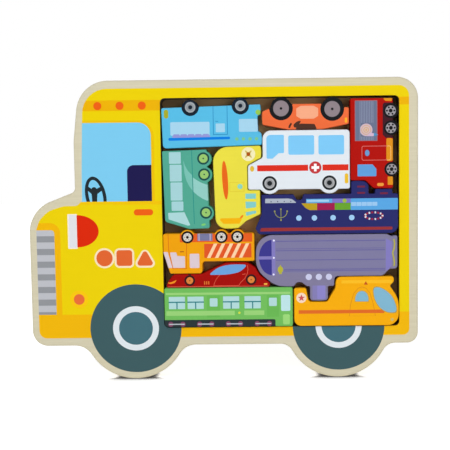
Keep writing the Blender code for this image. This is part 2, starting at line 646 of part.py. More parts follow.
def flat_plate(name, corners, thickness, collection):
    """A plate cut to an outline, from y = -thickness at the front to y = 0 at the back."""
    outline = fillet_corners(corners)
    curve = bpy.data.curves.new(name + "_outline", "CURVE")
    curve.dimensions = "2D"
    curve.fill_mode = "BOTH"
    curve.extrude = thickness / 2
    spline = curve.splines.new("POLY")
    spline.points.add(len(outline) - 1)
    for point, place in zip(spline.points, outline):
        point.co = (place.x, place.y, 0, 1)
    spline.use_cyclic_u = True
    drawing = bpy.data.objects.new(name + "_drawing", curve)
    collection.objects.link(drawing)
    shape = drawing.evaluated_get(bpy.context.evaluated_depsgraph_get())
    mesh = bpy.data.meshes.new_from_object(shape)
    mesh.name = name
    bpy.data.objects.remove(drawing)
    mesh.transform(Matrix.Translation((0, -thickness / 2, 0)) @ Matrix.Rotation(math.pi / 2, 4, "X"))
    plate = bmesh.new()
    plate.from_mesh(mesh)
    bmesh.ops.remove_doubles(plate, verts=plate.verts, dist=0.00001)
    bmesh.ops.dissolve_limit(plate, angle_limit=math.radians(0.5), verts=plate.verts, edges=plate.edges)
    bmesh.ops.recalc_face_normals(plate, faces=plate.faces)
    plate.to_mesh(mesh)
    plate.free()
    mesh.shade_smooth()
    mesh.set_sharp_from_angle(angle=math.radians(30))
    piece = bpy.data.objects.new(name, mesh)
    collection.objects.link(piece)
    return piece


def chamfer_rims(piece):
    """Takes the sharpness off the rims of a block, front and back."""
    bevel = piece.modifiers.new("chamfered_rims", "BEVEL")
    bevel.width = BLOCK_EDGE_CHAMFER
    bevel.segments = 1
    bevel.limit_method = "ANGLE"
    bevel.angle_limit = math.radians(60)


def round_rim(piece, rim_y):
    """Rounds the one rim of a board that lies at this y, and leaves the glued rim square."""
    weights = piece.data.attributes.new("bevel_weight_edge", "FLOAT", "EDGE")
    for edge in piece.data.edges:
        ends = [piece.data.vertices[index].co.y for index in edge.vertices]
        weights.data[edge.index].value = float(all(abs(end - rim_y) < GLUE_LINE for end in ends))
    bevel = piece.modifiers.new("rounded_rim", "BEVEL")
    bevel.width = BOARD_EDGE_ROUNDING
    bevel.segments = 3
    bevel.limit_method = "WEIGHT"


def make_tray(parts, cutters, corner):
    """The frame board with its window, and the back board glued behind it."""
    opening = flat_plate("window_cutter", window_outline(), FRAME_BOARD_THICKNESS + 2 * CUTTER_OVERSHOOT, cutters)
    opening.location = (0, CUTTER_OVERSHOOT, 0)
    opening.parent = corner
    opening.hide_render = True
    opening.display_type = "WIRE"

    frame = flat_plate("tray_frame", bus_outline(), FRAME_BOARD_THICKNESS, parts)
    frame.parent = corner
    round_rim(frame, -FRAME_BOARD_THICKNESS)
    cut = frame.modifiers.new("window", "BOOLEAN")
    cut.operation = "DIFFERENCE"
    cut.object = opening
    cut.solver = "EXACT"
    frame.data.materials.append(wood_finish("tray_frame", (0.93, 0.82, 0.02), 0.45))

    back = flat_plate("back_board", bus_outline(), BACK_BOARD_THICKNESS, parts)
    back.location = (0, back_y, 0)
    back.parent = corner
    round_rim(back, 0)
    back.data.materials.append(wood_finish("back_board", (0.70, 0.58, 0.40), 0.6))


def make_block(name, corners, colour, parts, holder):
    """One loose block. Its origin is in the middle of its outline, on the line it is lifted out along."""
    across = [corner[0] for corner in corners]
    up = [corner[1] for corner in corners]
    middle_x = (min(across) + max(across)) / 2
    middle_z = (min(up) + max(up)) / 2
    centred = [(x - middle_x, z - middle_z, radius) for x, z, radius in corners]
    block = flat_plate(name, centred, BLOCK_THICKNESS, parts)
    block.location = (middle_x, block_seat_y, middle_z)
    block.parent = holder
    chamfer_rims(block)
    block.data.materials.append(wood_finish(name, colour, 0.4))


def add_empty(name, location, parent, collection):
    empty = bpy.data.objects.new(name, None)
    empty.location = location
    empty.parent = parent
    collection.objects.link(empty)
    return empty


def add_collection(name):
    collection = bpy.data.collections.new(name)
    bpy.context.scene.collection.children.link(collection)
    return collection


def make_puzzle():
    for thing in list(bpy.data.objects):
        bpy.data.objects.remove(thing)
    parts = add_collection("wooden_puzzle")
    cutters = add_collection("cutters")

    corner = add_empty("window_corner", (window_left, corner_y, -ground), None, parts)
    stack = add_empty("leaning_stack", (pivot_x, 0, pivot_z), corner, parts)
    stack.rotation_euler = (0, -lean, 0)

    make_tray(parts, cutters, corner)
    make_block("train", train_outline(), (0.19, 0.56, 0.13), parts, corner)
    make_block("helicopter", helicopter_outline(), (0.92, 0.45, 0.003), parts, corner)
    make_block("sports_car", sports_car_outline(), (0.55, 0.01, 0.005), parts, corner)
    make_block("crane_truck", crane_truck_outline(), (0.90, 0.36, 0.01), parts, corner)
    make_block("submarine", submarine_outline(), (0.22, 0.20, 0.36), parts, corner)
    make_block("ship", ship_outline(), (0.03, 0.03, 0.17), parts, corner)
    make_block("ambulance", ambulance_outline(), (0.82, 0.84, 0.88), parts, corner)
    make_block("race_car", race_car_outline(), (0.93, 0.14, 0.03), parts, corner)
    make_block("fire_truck", fire_truck_outline(), (0.47, 0.01, 0.01), parts, corner)
    make_block("coach", coach_outline(), (0.07, 0.41, 0.31), parts, stack)
    make_block("airplane", airplane_outline(), (0.82, 0.76, 0.07), parts, stack)
    make_block("camper", camper_outline(), (0.11, 0.55, 0.87), parts, stack)


make_puzzle()
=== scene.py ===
from math import atan2, ceil, cos, pi, radians, sin, tan

import bmesh
import bpy
from mathutils import Matrix, Vector
from mathutils.geometry import delaunay_2d_cdt


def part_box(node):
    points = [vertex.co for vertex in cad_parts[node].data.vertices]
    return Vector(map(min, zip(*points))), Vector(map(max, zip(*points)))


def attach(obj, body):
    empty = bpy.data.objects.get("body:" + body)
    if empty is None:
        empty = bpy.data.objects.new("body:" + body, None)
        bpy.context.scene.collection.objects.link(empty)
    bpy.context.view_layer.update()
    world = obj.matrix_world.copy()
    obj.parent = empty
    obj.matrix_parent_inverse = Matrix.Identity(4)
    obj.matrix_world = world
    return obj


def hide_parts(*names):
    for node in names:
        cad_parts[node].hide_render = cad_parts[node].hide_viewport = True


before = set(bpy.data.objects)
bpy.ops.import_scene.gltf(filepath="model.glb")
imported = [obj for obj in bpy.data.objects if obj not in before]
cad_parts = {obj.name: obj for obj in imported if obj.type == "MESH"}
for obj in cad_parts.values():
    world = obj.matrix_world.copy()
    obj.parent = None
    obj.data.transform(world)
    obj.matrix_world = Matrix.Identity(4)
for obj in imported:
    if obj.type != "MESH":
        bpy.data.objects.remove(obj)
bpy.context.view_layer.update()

print("frame loaded,", len(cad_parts), "nodes")
mm = 0.001
perMetre = 1000  # textures are scaled in repeats per metre
inkAttribute = "inkColour"  # every face corner carries the colour of the ink or paint on it


def linear(code):
    # sRGB hex to the linear values that shaders take
    parts = [int(code[i:i + 2], 16) / 255 for i in (1, 3, 5)]
    return tuple(p / 12.92 if p <= 0.04045 else ((p + 0.055) / 1.055) ** 2.4 for p in parts) + (1.0,)


def feed(tree, node, links):
    # links: socket to a value, to a socket, or to a node whose first output is meant
    for socket, source in links.items():
        if isinstance(source, bpy.types.Node):
            source = source.outputs[0]
        if isinstance(source, bpy.types.NodeSocket):
            tree.links.new(source, node.inputs[socket])
        else:
            node.inputs[socket].default_value = source


def addNode(tree, kind, links=None, **settings):
    node = tree.nodes.new(kind)
    for setting, value in settings.items():
        setattr(node, setting, value)
    feed(tree, node, links or {})
    return node


def calc(tree, operation, *values):
    return addNode(tree, "ShaderNodeMath", dict(enumerate(values)), operation=operation)


def ranged(tree, value, spread=(0.0, 1.0), to=(0.0, 1.0)):
    return addNode(tree, "ShaderNodeMapRange", {
        "Value": value, "From Min": spread[0], "From Max": spread[1], "To Min": to[0], "To Max": to[1]})


def blend(tree, factor, first, second, how="MIX"):
    first, second = (linear(c) if isinstance(c, str) else c for c in (first, second))
    node = addNode(tree, "ShaderNodeMix", {"Factor": factor, 6: first, 7: second},
                   data_type="RGBA", blend_type=how)
    return node.outputs[2]  # its colour output


def timesColour(tree, colour, factor):
    return addNode(tree, "ShaderNodeVectorMath", {0: colour, "Scale": factor}, operation="SCALE")


def axis(tree, vector, letter):
    return addNode(tree, "ShaderNodeSeparateXYZ", {0: vector}).outputs[letter]


def ownPlace(tree):
    return addNode(tree, "ShaderNodeTexCoord").outputs["Object"]


def addObject(name, data):
    made = bpy.data.objects.new(name, data)
    bpy.context.scene.collection.objects.link(made)
    return made


def bareTree(holder):
    holder.use_nodes = True
    holder.node_tree.nodes.clear()
    return holder.node_tree


# materials

def newMaterial(name):
    material = bpy.data.materials.new(name)
    material.use_nodes = True
    return material, material.node_tree, material.node_tree.nodes["Principled BSDF"]


def noise(tree, place, scale, detail, roughness=0.5, distortion=0.0):
    return addNode(tree, "ShaderNodeTexNoise", {
        "Vector": place, "Scale": scale, "Detail": detail, "Roughness": roughness, "Distortion": distortion})


def streaks(tree, place, sizes, *settings):
    # noise drawn out along X; sizes: length and pitch in mm
    length, pitch = sizes
    long = addNode(tree, "ShaderNodeMapping", {
        "Vector": place, "Scale": (perMetre / length, perMetre / pitch, perMetre / pitch)})
    return noise(tree, long, 1.0, *settings)


def bumped(tree, height, depth, strength, **under):
    return addNode(tree, "ShaderNodeBump", {
        "Height": height, "Strength": strength, "Distance": depth * mm, **under})


enamelLook = {
    "roughness": (0.36, 0.50),  # rolled satin enamel, a little duller in patches
    "tone": (0.985, 1.015),  # thicker and thinner paint
    "patchSize": 14,  # mm
    "patchNoise": (0.3, 0.7), "toneNoise": (0.7, 1.3),  # noise at the ends of both
    "peelSize": 1.6, "peelDepth": 0.030,  # mm, the orange peel of the roller
    "grain": (34.0, 1.3), "grainDepth": 0.010,  # mm, basswood grain that telegraphs through the paint
    "bump": 0.5,
    "specular": 0.06,  # low, because the matting agent takes most of the mirror sheen
}


def paintedBasswood(name, look):
    # satin enamel over sanded basswood: soft highlights, a faint orange peel and a hint of grain
    material, tree, shader = newMaterial(name)
    place = ownPlace(tree)
    ink = addNode(tree, "ShaderNodeAttribute", attribute_name=inkAttribute)
    grain = streaks(tree, place, look["grain"], 3.0, 0.55)
    cloud = noise(tree, place, perMetre / look["patchSize"], 2.0)
    peel = noise(tree, place, perMetre / look["peelSize"], 1.0)
    tone = ranged(tree, calc(tree, "ADD", grain, cloud), look["toneNoise"], look["tone"])
    low = bumped(tree, grain, look["grainDepth"], look["bump"])
    feed(tree, shader, {
        "Base Color": timesColour(tree, ink, tone),
        "Normal": bumped(tree, peel, look["peelDepth"], look["bump"], Normal=low),
        "Roughness": ranged(tree, cloud, look["patchNoise"], look["roughness"]),
        "IOR": 1.5, "Specular IOR Level": look["specular"]})
    return material


plyLook = {
    "veneerLight": "#D4CDB3", "veneerDark": "#CCC5A9",
    "plyLight": "#D9C79E", "plyDark": "#B4986A", "glue": "#8A6A44",
    "plyThickness": 2.29,  # mm, seven plies in the frame board
    "glueLine": 0.05, "veneerOnEdge": 0.35,  # shares of a ply, and of face colour in a cut edge
    "faceFrom": (0.12, 0.40),  # a normal's share along Y, from cut edge to face
    "grain": (70.0, 1.8),  # mm, length and pitch
    "fibre": (18, 0.5), "fibreDepth": 0.06,  # mm, drawn coarser than real to show
    "fibreShare": 0.45, "veneerNoise": (0.5, 0.95), "bump": 0.35,
    "browned": 0.0, "charLight": "#4C3320", "charDark": "#2A1A10",
    "smokeStainAndShade": "#FFFFFF", "paintedEndShade": 1.0,  # stain that the laser's smoke left on front faces, with painted shade of the deep recess laid in; painted shade browner at both ends
    "endShadeMiddle": 0.045, "endShadeFade": (0.035, 0.090),  # metres along the tray
    "roughness": 0.62, "specular": 0.2,
}


def basswoodPlywood(name, look):
    # sanded basswood plywood: pale long grain on the faces, plies and glue lines on the cut edges
    material, tree, shader = newMaterial(name)
    place = ownPlace(tree)
    facing = axis(tree, addNode(tree, "ShaderNodeNewGeometry").outputs["Normal"], "Y")
    isFace = ranged(tree, calc(tree, "ABSOLUTE", facing), look["faceFrom"])
    isFront = calc(tree, "LESS_THAN", facing, -0.5)
    grain = streaks(tree, place, look["grain"], 4.0, 0.6, 0.3)
    fibre = streaks(tree, place, look["fibre"], 2.0)
    both = calc(tree, "MULTIPLY_ADD", fibre, look["fibreShare"], grain)
    light = ranged(tree, both, look["veneerNoise"])
    veneer = blend(tree, light, look["veneerDark"], look["veneerLight"])
    # plies across the thickness: every second one shows end grain and is darker
    count = calc(tree, "MULTIPLY", axis(tree, place, "Y"), perMetre / look["plyThickness"])
    isEnd = calc(tree, "LESS_THAN", calc(tree, "FLOORED_MODULO", count, 2.0), 1.0)
    isPly = calc(tree, "COMPARE", calc(tree, "FRACT", count), 0.5, 0.5 - look["glueLine"])
    ply = blend(tree, isEnd, look["plyLight"], look["plyDark"])
    edge = blend(tree, isPly, look["glue"], blend(tree, look["veneerOnEdge"], ply, veneer))
    wood = blend(tree, isFace, edge, veneer)
    char = blend(tree, grain, look["charDark"], look["charLight"])
    burnt = blend(tree, look["browned"], wood, char)
    # the smoke stain with painted shade, and painted shade darker towards both ends
    outwards = calc(tree, "ABSOLUTE", calc(tree, "SUBTRACT", axis(tree, place, "X"), look["endShadeMiddle"]))
    ends = ranged(tree, outwards, look["endShadeFade"], (1.0, look["paintedEndShade"]))
    toneOfSmokeAndShade = timesColour(tree, linear(look["smokeStainAndShade"])[:3], ends)
    feed(tree, shader, {
        "Base Color": blend(tree, isFront, burnt, toneOfSmokeAndShade, "MULTIPLY"), "Roughness": look["roughness"],
        "Normal": bumped(tree, both, look["fibreDepth"], look["bump"]),
        "IOR": 1.5, "Specular IOR Level": look["specular"]})
    return material


blockPaint = paintedBasswood("satinEnamelOnBasswood", enamelLook)
# a film pressed on hot: smoother than rolled paint and a little glossier
traySheet = paintedBasswood("heatTransferPrintOnBasswood", {
    **enamelLook, "roughness": (0.30, 0.42), "peelDepth": 0.012, "grainDepth": 0.005,
    "tone": (0.992, 1.008)})
# a thin even film of ink, just glossier than the paint under it
screenInk = paintedBasswood("screenPrintedInk", {
    **enamelLook, "roughness": (0.30, 0.40), "peelDepth": 0.015})
bareWood = basswoodPlywood("sandedBasswoodPlywood", plyLook)
# the laser's dark brown cut, in which the plies only just show
burntWood = basswoodPlywood("laserCutPlywoodEdge", {**plyLook, "browned": 0.92})
# wood that the laser's smoke toned, with painted shade laid in so the gaps between the blocks look deep
floorWood = basswoodPlywood("smokeAndPaintedShadePlywood", {**plyLook, "smokeStainAndShade": "#FFD2A6", "paintedEndShade": 0.42})
print("materials made")


# flat drawing, in millimetres from the window's lower left corner
# a colour is a hex code or a name from the piece's settings

def shape(colour, points, free=False):
    return {"colour": colour, "points": [Vector(p) for p in points], "free": free}


def disc(colour, x, z, r, rz=None, turn=0.0, free=False):
    rz = rz or r
    count = int(16 + 2.2 * max(r, rz))  # more points round a larger disc
    c, s = cos(radians(turn)), sin(radians(turn))
    points = []
    for i in range(count):
        a = 2 * pi * i / count
        u, v = r * cos(a), rz * sin(a)
        points.append((x + u * c - v * s, z + u * s + v * c))
    return shape(colour, points, free)


def wheels(spots, rings):
    return [disc(colour, x, z, r) for x, z in spots for r, colour in rings]


def halfRound(x, z, rx, rz, first, steps=24):
    # first: where the half turn starts, in half turns
    angles = [pi * (first + k / steps) for k in range(steps + 1)]
    return [(x + rx * cos(a), z + rz * sin(a)) for a in angles]


def sides(loop):
    return zip(loop, loop[1:] + loop[:1])


def neighbours(loop):
    # every point with the one before it and the one after it
    return zip(loop[-1:] + loop[:-1], loop, loop[1:] + loop[:1])


def scaled(points, centre, factor):
    centre = Vector(centre)
    return [centre + (Vector(p) - centre) * factor for p in points]


fillet = {"straight": 1.54, "share": 0.49, "turn": 0.2}  # half angle, part of each side, angle of one step


def filleted(corners, rounding):
    points = []
    for before, corner, after in neighbours(corners):
        here = Vector(corner[:2])
        radius = corner[2] if len(corner) > 2 else rounding
        a, b = Vector(before[:2]) - here, Vector(after[:2]) - here
        half = a.angle(b) / 2
        if radius <= 0 or half > fillet["straight"]:
            points.append(here)
            continue
        reach = min(radius / tan(half), a.length * fillet["share"], b.length * fillet["share"])
        radius = reach * tan(half)
        a.normalize()
        b.normalize()
        centre = here + (a + b).normalized() * (radius / sin(half))
        start, end = here + a * reach - centre, here + b * reach - centre
        first = atan2(start.y, start.x)
        sweep = (atan2(end.y, end.x) - first + pi) % (2 * pi) - pi
        steps = max(2, ceil(abs(sweep) / fillet["turn"]))
        angles = [first + sweep * k / steps for k in range(steps + 1)]
        points += [centre + radius * Vector((cos(angle), sin(angle))) for angle in angles]
    return points


def poly(colour, corners, rounding=0.0):
    return shape(colour, filleted(corners, rounding))


def patch(colour, x0, z0, x1, z1, rounding=0.0):
    return poly(colour, [(x0, z0), (x1, z0), (x1, z1), (x0, z1)], rounding)


def framed(border, x0, z0, x1, z1, rounding, width):
    # a thin outline: the border's colour with the ground's colour laid over its middle
    return [patch(border, x0, z0, x1, z1, rounding),
            patch("ground", x0 + width, z0 + width, x1 - width, z1 - width, max(rounding - width, 0))]


def line(colour, points, width):
    path = [Vector(p) for p in points]
    left, right = [], []
    for i, here in enumerate(path):
        a = (here - path[i - 1]).normalized() if i else (path[1] - here).normalized()
        b = (path[i + 1] - here).normalized() if i < len(path) - 1 else a
        side = Vector((-a.y - b.y, a.x + b.x)) / (1 + a.dot(b))
        left.append(here + side * width / 2)
        right.append(here - side * width / 2)
    return shape(colour, left + right[::-1])


def curved(colour, points):
    # a closed smooth line through the points
    path, made, steps = [Vector(p) for p in points], [], 5
    for i in range(len(path)):
        p0, p1, p2, p3 = (path[(i + k) % len(path)] for k in (-1, 0, 1, 2))
        for k in range(steps):
            t = k / steps
            made.append(0.5 * (2 * p1 + (p2 - p0) * t + (2 * p0 - 5 * p1 + 4 * p2 - p3) * t ** 2
                               + (3 * p1 - p0 - 3 * p2 + p3) * t ** 3))
    return shape(colour, made)


def star(colour, x, z, outer, inner):
    points = []
    for i in range(10):
        a, r = radians(90 + 36 * i), inner if i % 2 else outer
        points.append((x + r * cos(a), z + r * sin(a)))
    return shape(colour, points)


def area(loop):
    return sum(a.x * b.y - b.x * a.y for a, b in sides(loop)) / 2


def inside(point, loop):
    hit = False
    for a, b in sides(loop):
        if (a.y > point.y) != (b.y > point.y):
            if point.x < a.x + (b.x - a.x) * (point.y - a.y) / (b.y - a.y):
                hit = not hit
    return hit


# outlines of the solids

solidReading = {"weld": 1e-6, "sliver": 1e-7, "upright": 0.15}  # metres, metres, a wall normal's share of Y


def wallLoops(node):
    # closed outlines of a node's upright walls, the wood always on the left of the walk
    part = bmesh.new()
    part.from_mesh(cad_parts[node].data)
    bmesh.ops.remove_doubles(part, verts=part.verts, dist=solidReading["weld"])
    bmesh.ops.dissolve_degenerate(part, dist=solidReading["sliver"], edges=part.edges)
    part.normal_update()
    part.verts.index_update()
    low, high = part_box(node)
    depth = high.y - low.y
    walls = set()
    for face in part.faces:
        levels = [v.co.y for v in face.verts]
        if abs(face.normal.y) < solidReading["upright"] and max(levels) - min(levels) > depth / 2:
            walls.add(face)
    onward = {}
    for edge in part.edges:
        mine = [f for f in edge.link_faces if f in walls]
        if len(mine) == 1 and max(v.co.y for v in edge.verts) < (low.y + high.y) / 2:
            a, b = edge.verts
            along, outward = b.co - a.co, mine[0].normal
            if along.z * outward.x - along.x * outward.z < 0:
                a, b = b, a
            onward[a.index] = b
    loops = []
    while onward:
        first, here = onward.popitem()
        loop = [here]
        while here.index != first:
            here = onward.pop(here.index)
            loop.append(here)
        loops.append([Vector((v.co.x, v.co.z)) / mm for v in loop])
    part.free()
    return sorted(loops, key=lambda loop: -abs(area(loop)))


windowLoop = wallLoops("tray_frame")[1]
windowCorner = Vector((min(p.x for p in windowLoop), min(p.y for p in windowLoop)))  # mm
print("window corner at", tuple(round(c, 3) for c in windowCorner))


def turnsOf(loop):
    turns = []
    for before, here, after in neighbours(loop):
        a, b = here - before, after - here
        turns.append(atan2(a.x * b.y - a.y * b.x, a.dot(b)))
    return turns


softening = {"tooClose": 0.02, "longest": 9,  # mm between two points, and of an arc's chord
             "straight": radians(0.3), "sharpest": radians(32)}


def softened(loop):
    # drops points on straight runs and puts one more point on each chord of an arc
    loop = [p for before, p, _ in neighbours(loop) if (p - before).length > softening["tooClose"]]
    loop = [p for p, turn in zip(loop, turnsOf(loop)) if abs(turn) > softening["straight"]]
    turns, made = turnsOf(loop), []
    for i, here in enumerate(loop):
        made.append(here)
        onward = (i + 1) % len(loop)
        chord = loop[onward] - here
        arc = max(turns[i], turns[onward], key=abs)
        isArc = turns[i] * turns[onward] > 0 and abs(arc) < softening["sharpest"]
        if isArc and chord.length < softening["longest"]:
            bulge = chord.length / 2 * tan(arc / 4)
            made.append(here + chord / 2 + Vector((chord.y, -chord.x)).normalized() * bulge)
    return made


def easeCorner(loop, corner, reach, radius):
    # one even bend in place of the short facets near a corner
    away = [(p - Vector(corner)).length > reach for p in loop]
    start = next(i for i in range(len(loop)) if away[i] and not away[(i + 1) % len(loop)])
    kept = [(p.x, p.y, 0) for p, far in zip(loop, away) if far]
    split = sum(away[:start + 1])
    return filleted([(*corner, radius)] + kept[split:] + kept[:split], 0)


def insetBy(loop, distance):
    made = []
    for before, here, after in neighbours(loop):
        a, b = (here - before).normalized(), (after - here).normalized()
        spread = max(1 + a.dot(b), 0.4)  # keeps the mitre short at sharp corners
        made.append(here + Vector((-a.y - b.y, a.x + b.x)) * (distance / spread))
    return made


def cutUp(outlines, shapes):
    # flat triangles inside the outlines, cut along every shape to a micrometre
    points, faces = [], []
    for loop in outlines + [s["points"] for s in shapes]:
        ordered = loop if area(loop) > 0 else loop[::-1]
        faces.append(list(range(len(points), len(points) + len(ordered))))
        points += ordered
    return delaunay_2d_cdt(points, [], faces, 1, 1e-3, True)


# a thick piece of wood with rounded rims and its print

rimSteps = 4
rimArc = [pi / 2 * k / rimSteps for k in range(rimSteps + 1)]
rimReading = {"onLine": 2e-3, "apart": 4e-3, "probe": 0.05}  # mm


def rimRings(loop, front, back, rounding, backRounding):
    # (points, y) from the back to the front
    made = []
    for y, radius, angles in ((back, -backRounding, rimArc[::-1]), (front, rounding, rimArc)):
        for a in angles:
            made.append((insetBy(loop, abs(radius) * (1 - cos(a))), y + radius * (1 - sin(a))))
    return made


def cutRims(rings, shapes):
    # points where a shape crosses the rim go into every ring, so that the mesh closes
    crossings = cutUp([ring[-1][0] for ring in rings], shapes)[0]
    for ring in rings:
        rim, extra = ring[-1][0], {}
        for point in crossings:
            for i, (a, b) in enumerate(sides(rim)):
                chord = b - a
                t = (point - a).dot(chord) / chord.length_squared
                nearest = min(t, 1 - t) * chord.length
                if nearest > rimReading["apart"] and (point - a - chord * t).length < rimReading["onLine"]:
                    extra.setdefault(i, []).append(t)
        for k, (path, y) in enumerate(ring):
            made = []
            for i, (a, b) in enumerate(sides(path)):
                made += [a] + [a.lerp(b, t) for t in sorted(extra.get(i, []))]
            ring[k] = (made, y)


def newPiece(name, verts, faces, materials, look):
    # faces: corners, colour, material index, smooth
    mesh = bpy.data.meshes.new(name)
    place = [((windowCorner.x + x) * mm, y * mm, (windowCorner.y + z) * mm) for x, y, z in verts]
    mesh.from_pydata(place, [], [f[0] for f in faces])
    for material in materials:
        mesh.materials.append(material)
    mesh.polygons.foreach_set("material_index", [f[2] for f in faces])
    mesh.polygons.foreach_set("use_smooth", [f[3] for f in faces])
    values = []
    for corners, colour, _, _ in faces:
        values += list(linear(look.get(colour, colour))) * len(corners)
    mesh.attributes.new(inkAttribute, "FLOAT_COLOR", "CORNER").data.foreach_set("color", values)
    mesh.validate()
    mesh.set_sharp_from_angle(angle=radians(35))
    return addObject(name, mesh)


def buildPlate(node, look, shapes, materials, sheet=None, ink=0, wall=0):
    # look: roundings of each outline's rims, front and back, and the colours that run on down the wall
    # ink, wall: which materials the print and the window's walls have
    low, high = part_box(node)
    loops = [[p - windowCorner for p in loop] for loop in wallLoops(node)]
    if "eased" in look:
        loops[0] = easeCorner(loops[0], **look["eased"])
    rings = [rimRings(softened(loop), low.y / mm, high.y / mm, *rounds)
             for loop, rounds in zip(loops, look["rounds"])]
    cutRims(rings, shapes)

    def topmost(found):
        # the last shape drawn there; shapes that aren't free show only on the printed sheet
        onSheet = sheet is None or sheet in found
        return max((k for k in found if onSheet or shapes[k]["free"]), default=None)

    def inkOf(top, plain=0):
        return ("ground", plain) if top is None else (shapes[top]["colour"], ink)

    verts, faces, firstOf, rimIds, backIds = [], [], [], [], []
    for ring in rings:
        firstOf.append(len(verts))
        for path, y in ring:
            verts += [(p.x, y, p.y) for p in path]
    # rims and walls
    for ring, first in zip(rings, firstOf):
        rim = ring[-1][0]
        count = len(rim)
        tops = []
        for a, b in sides(rim):
            inwards = Vector((a.y - b.y, b.x - a.x)).normalized()
            probe = (a + b) / 2 + inwards * rimReading["probe"]
            tops.append(topmost([k for k, s in enumerate(shapes) if inside(probe, s["points"])]))
        for k in range(len(ring) - 1):
            plain = wall if k == rimSteps and ring is not rings[0] else 0
            a = first + k * count
            for i, top in enumerate(tops):
                if k < rimSteps or (k == rimSteps and inkOf(top, plain)[0] not in look.get("runsDown", ())):
                    top = None
                j = (i + 1) % count
                faces.append(((a + i, a + j, a + count + j, a + count + i), *inkOf(top, plain), True))
        for ids, start in ((rimIds, first + (len(ring) - 1) * count), (backIds, first)):
            ordered = list(range(start, start + count))
            ids += ordered if area(rim) > 0 else ordered[::-1]
    # the printed face, then the plain back
    for level, ids, drawn in ((-1, rimIds, shapes), (0, backIds, [])):
        points, _, triangles, origins, _, sources = cutUp([ring[level][0] for ring in rings], drawn)
        own = []
        for point, origin in zip(points, origins):
            known = [ids[o] for o in origin if o < len(ids)]
            own.append(known[0] if known else len(verts))
            if not known:
                verts.append((point.x, low.y / mm, point.y))
        for triangle, source in zip(triangles, sources):
            if 0 in source and not any(k in source for k in range(1, len(rings))):
                top = topmost([s - len(rings) for s in source if s >= len(rings)]) if drawn else None
                corners = [own[v] for v in triangle]
                faces.append((tuple(corners if level else corners[::-1]), *inkOf(top), False))

    piece = newPiece(look["name"], verts, faces, materials, look)
    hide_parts(node)
    return piece


# marks that repeat, made by two node trees

def newTree(name, inputs):
    tree = bpy.data.node_groups.new(name, "GeometryNodeTree")
    tree.is_modifier = True
    for way in ("INPUT", "OUTPUT"):
        tree.interface.new_socket("Geometry", in_out=way, socket_type="NodeSocketGeometry")
    for kind, labels in inputs.items():
        for label in labels:
            tree.interface.new_socket(label, in_out="INPUT", socket_type="NodeSocket" + kind)
    return tree, addNode(tree, "NodeGroupInput").outputs


markInputs = {"Int": ["Count"], "Float": ["Width", "Height", "Corner", "Slant", "Thickness"],
              "Color": ["Colour"]}


def placeMarks(tree, given, points, rotation):
    # one thin raised mark, put on every point and joined to what came before
    sketch = addNode(tree, "GeometryNodeCurvePrimitiveQuadrilateral", {
        "Width": given["Width"], "Height": given["Height"]})
    softer = addNode(tree, "GeometryNodeFilletCurve", {
        "Curve": sketch, "Count": 6, "Radius": given["Corner"], "Limit Radius": True}, mode="POLY")
    filled = addNode(tree, "GeometryNodeFillCurve", {"Curve": softer}, mode="NGONS")
    upwards = axis(tree, addNode(tree, "GeometryNodeInputPosition"), "Y")
    lean = calc(tree, "MULTIPLY", upwards, given["Slant"])
    leaning = addNode(tree, "GeometryNodeSetPosition", {
        "Geometry": filled, "Offset": addNode(tree, "ShaderNodeCombineXYZ", {"X": lean})})
    raised = addNode(tree, "GeometryNodeExtrudeMesh", {
        "Mesh": leaning, "Offset Scale": given["Thickness"]}, mode="FACES")
    closed = addNode(tree, "GeometryNodeJoinGeometry", {"Geometry": raised})
    feed(tree, closed, {"Geometry": addNode(tree, "GeometryNodeFlipFaces", {"Mesh": leaning})})
    welded = addNode(tree, "GeometryNodeMergeByDistance", {"Geometry": closed, "Distance": 1e-6})
    placed = addNode(tree, "GeometryNodeInstanceOnPoints", {
        "Points": points, "Instance": welded, "Rotation": rotation})
    real = addNode(tree, "GeometryNodeRealizeInstances", {"Geometry": placed})
    inked = addNode(tree, "GeometryNodeStoreNamedAttribute", {
        "Geometry": real, "Name": inkAttribute, "Value": given["Colour"]},
        data_type="FLOAT_COLOR", domain="CORNER")
    finished = addNode(tree, "GeometryNodeSetMaterial", {"Geometry": inked, "Material": screenInk})
    joined = addNode(tree, "GeometryNodeJoinGeometry", {"Geometry": finished})
    feed(tree, joined, {"Geometry": given["Geometry"]})
    addNode(tree, "NodeGroupOutput", {"Geometry": joined})
    return tree


def rowTree():
    tree, given = newTree("rowOfMarks", {**markInputs, "Vector": ["First", "Step"]})
    points = addNode(tree, "GeometryNodeMeshLine", {
        "Count": given["Count"], "Start Location": given["First"],
        "Offset": given["Step"]}, mode="OFFSET")
    return placeMarks(tree, given, points, (pi / 2, 0, 0))


def ringTree():
    floats = markInputs["Float"] + ["Radius X", "Radius Z", "Phase"]
    tree, given = newTree("ringOfMarks", {**markInputs, "Float": floats, "Vector": ["Centre"]})
    count, radiusX, radiusZ = (given[label] for label in ("Count", "Radius X", "Radius Z"))
    step = calc(tree, "DIVIDE", 2 * pi, count)
    angle = calc(tree, "MULTIPLY_ADD", addNode(tree, "GeometryNodeInputIndex"), step, given["Phase"])
    cosine = calc(tree, "COSINE", angle)
    sine = calc(tree, "SINE", angle)
    around = addNode(tree, "ShaderNodeCombineXYZ", {
        "X": calc(tree, "MULTIPLY", cosine, radiusX), "Z": calc(tree, "MULTIPLY", sine, radiusZ)})
    spot = addNode(tree, "ShaderNodeVectorMath", {0: around, 1: given["Centre"]}, operation="ADD")
    points = addNode(tree, "GeometryNodePoints", {"Count": count, "Position": spot})
    # each mark lies along the ring
    up = calc(tree, "MULTIPLY", cosine, radiusZ)
    side = calc(tree, "MULTIPLY", calc(tree, "MULTIPLY", sine, radiusX), -1.0)
    tilt = calc(tree, "MULTIPLY", calc(tree, "ARCTAN2", up, side), -1.0)
    rotation = addNode(tree, "ShaderNodeCombineXYZ", {"X": pi / 2, "Y": tilt})
    return placeMarks(tree, given, points, rotation)


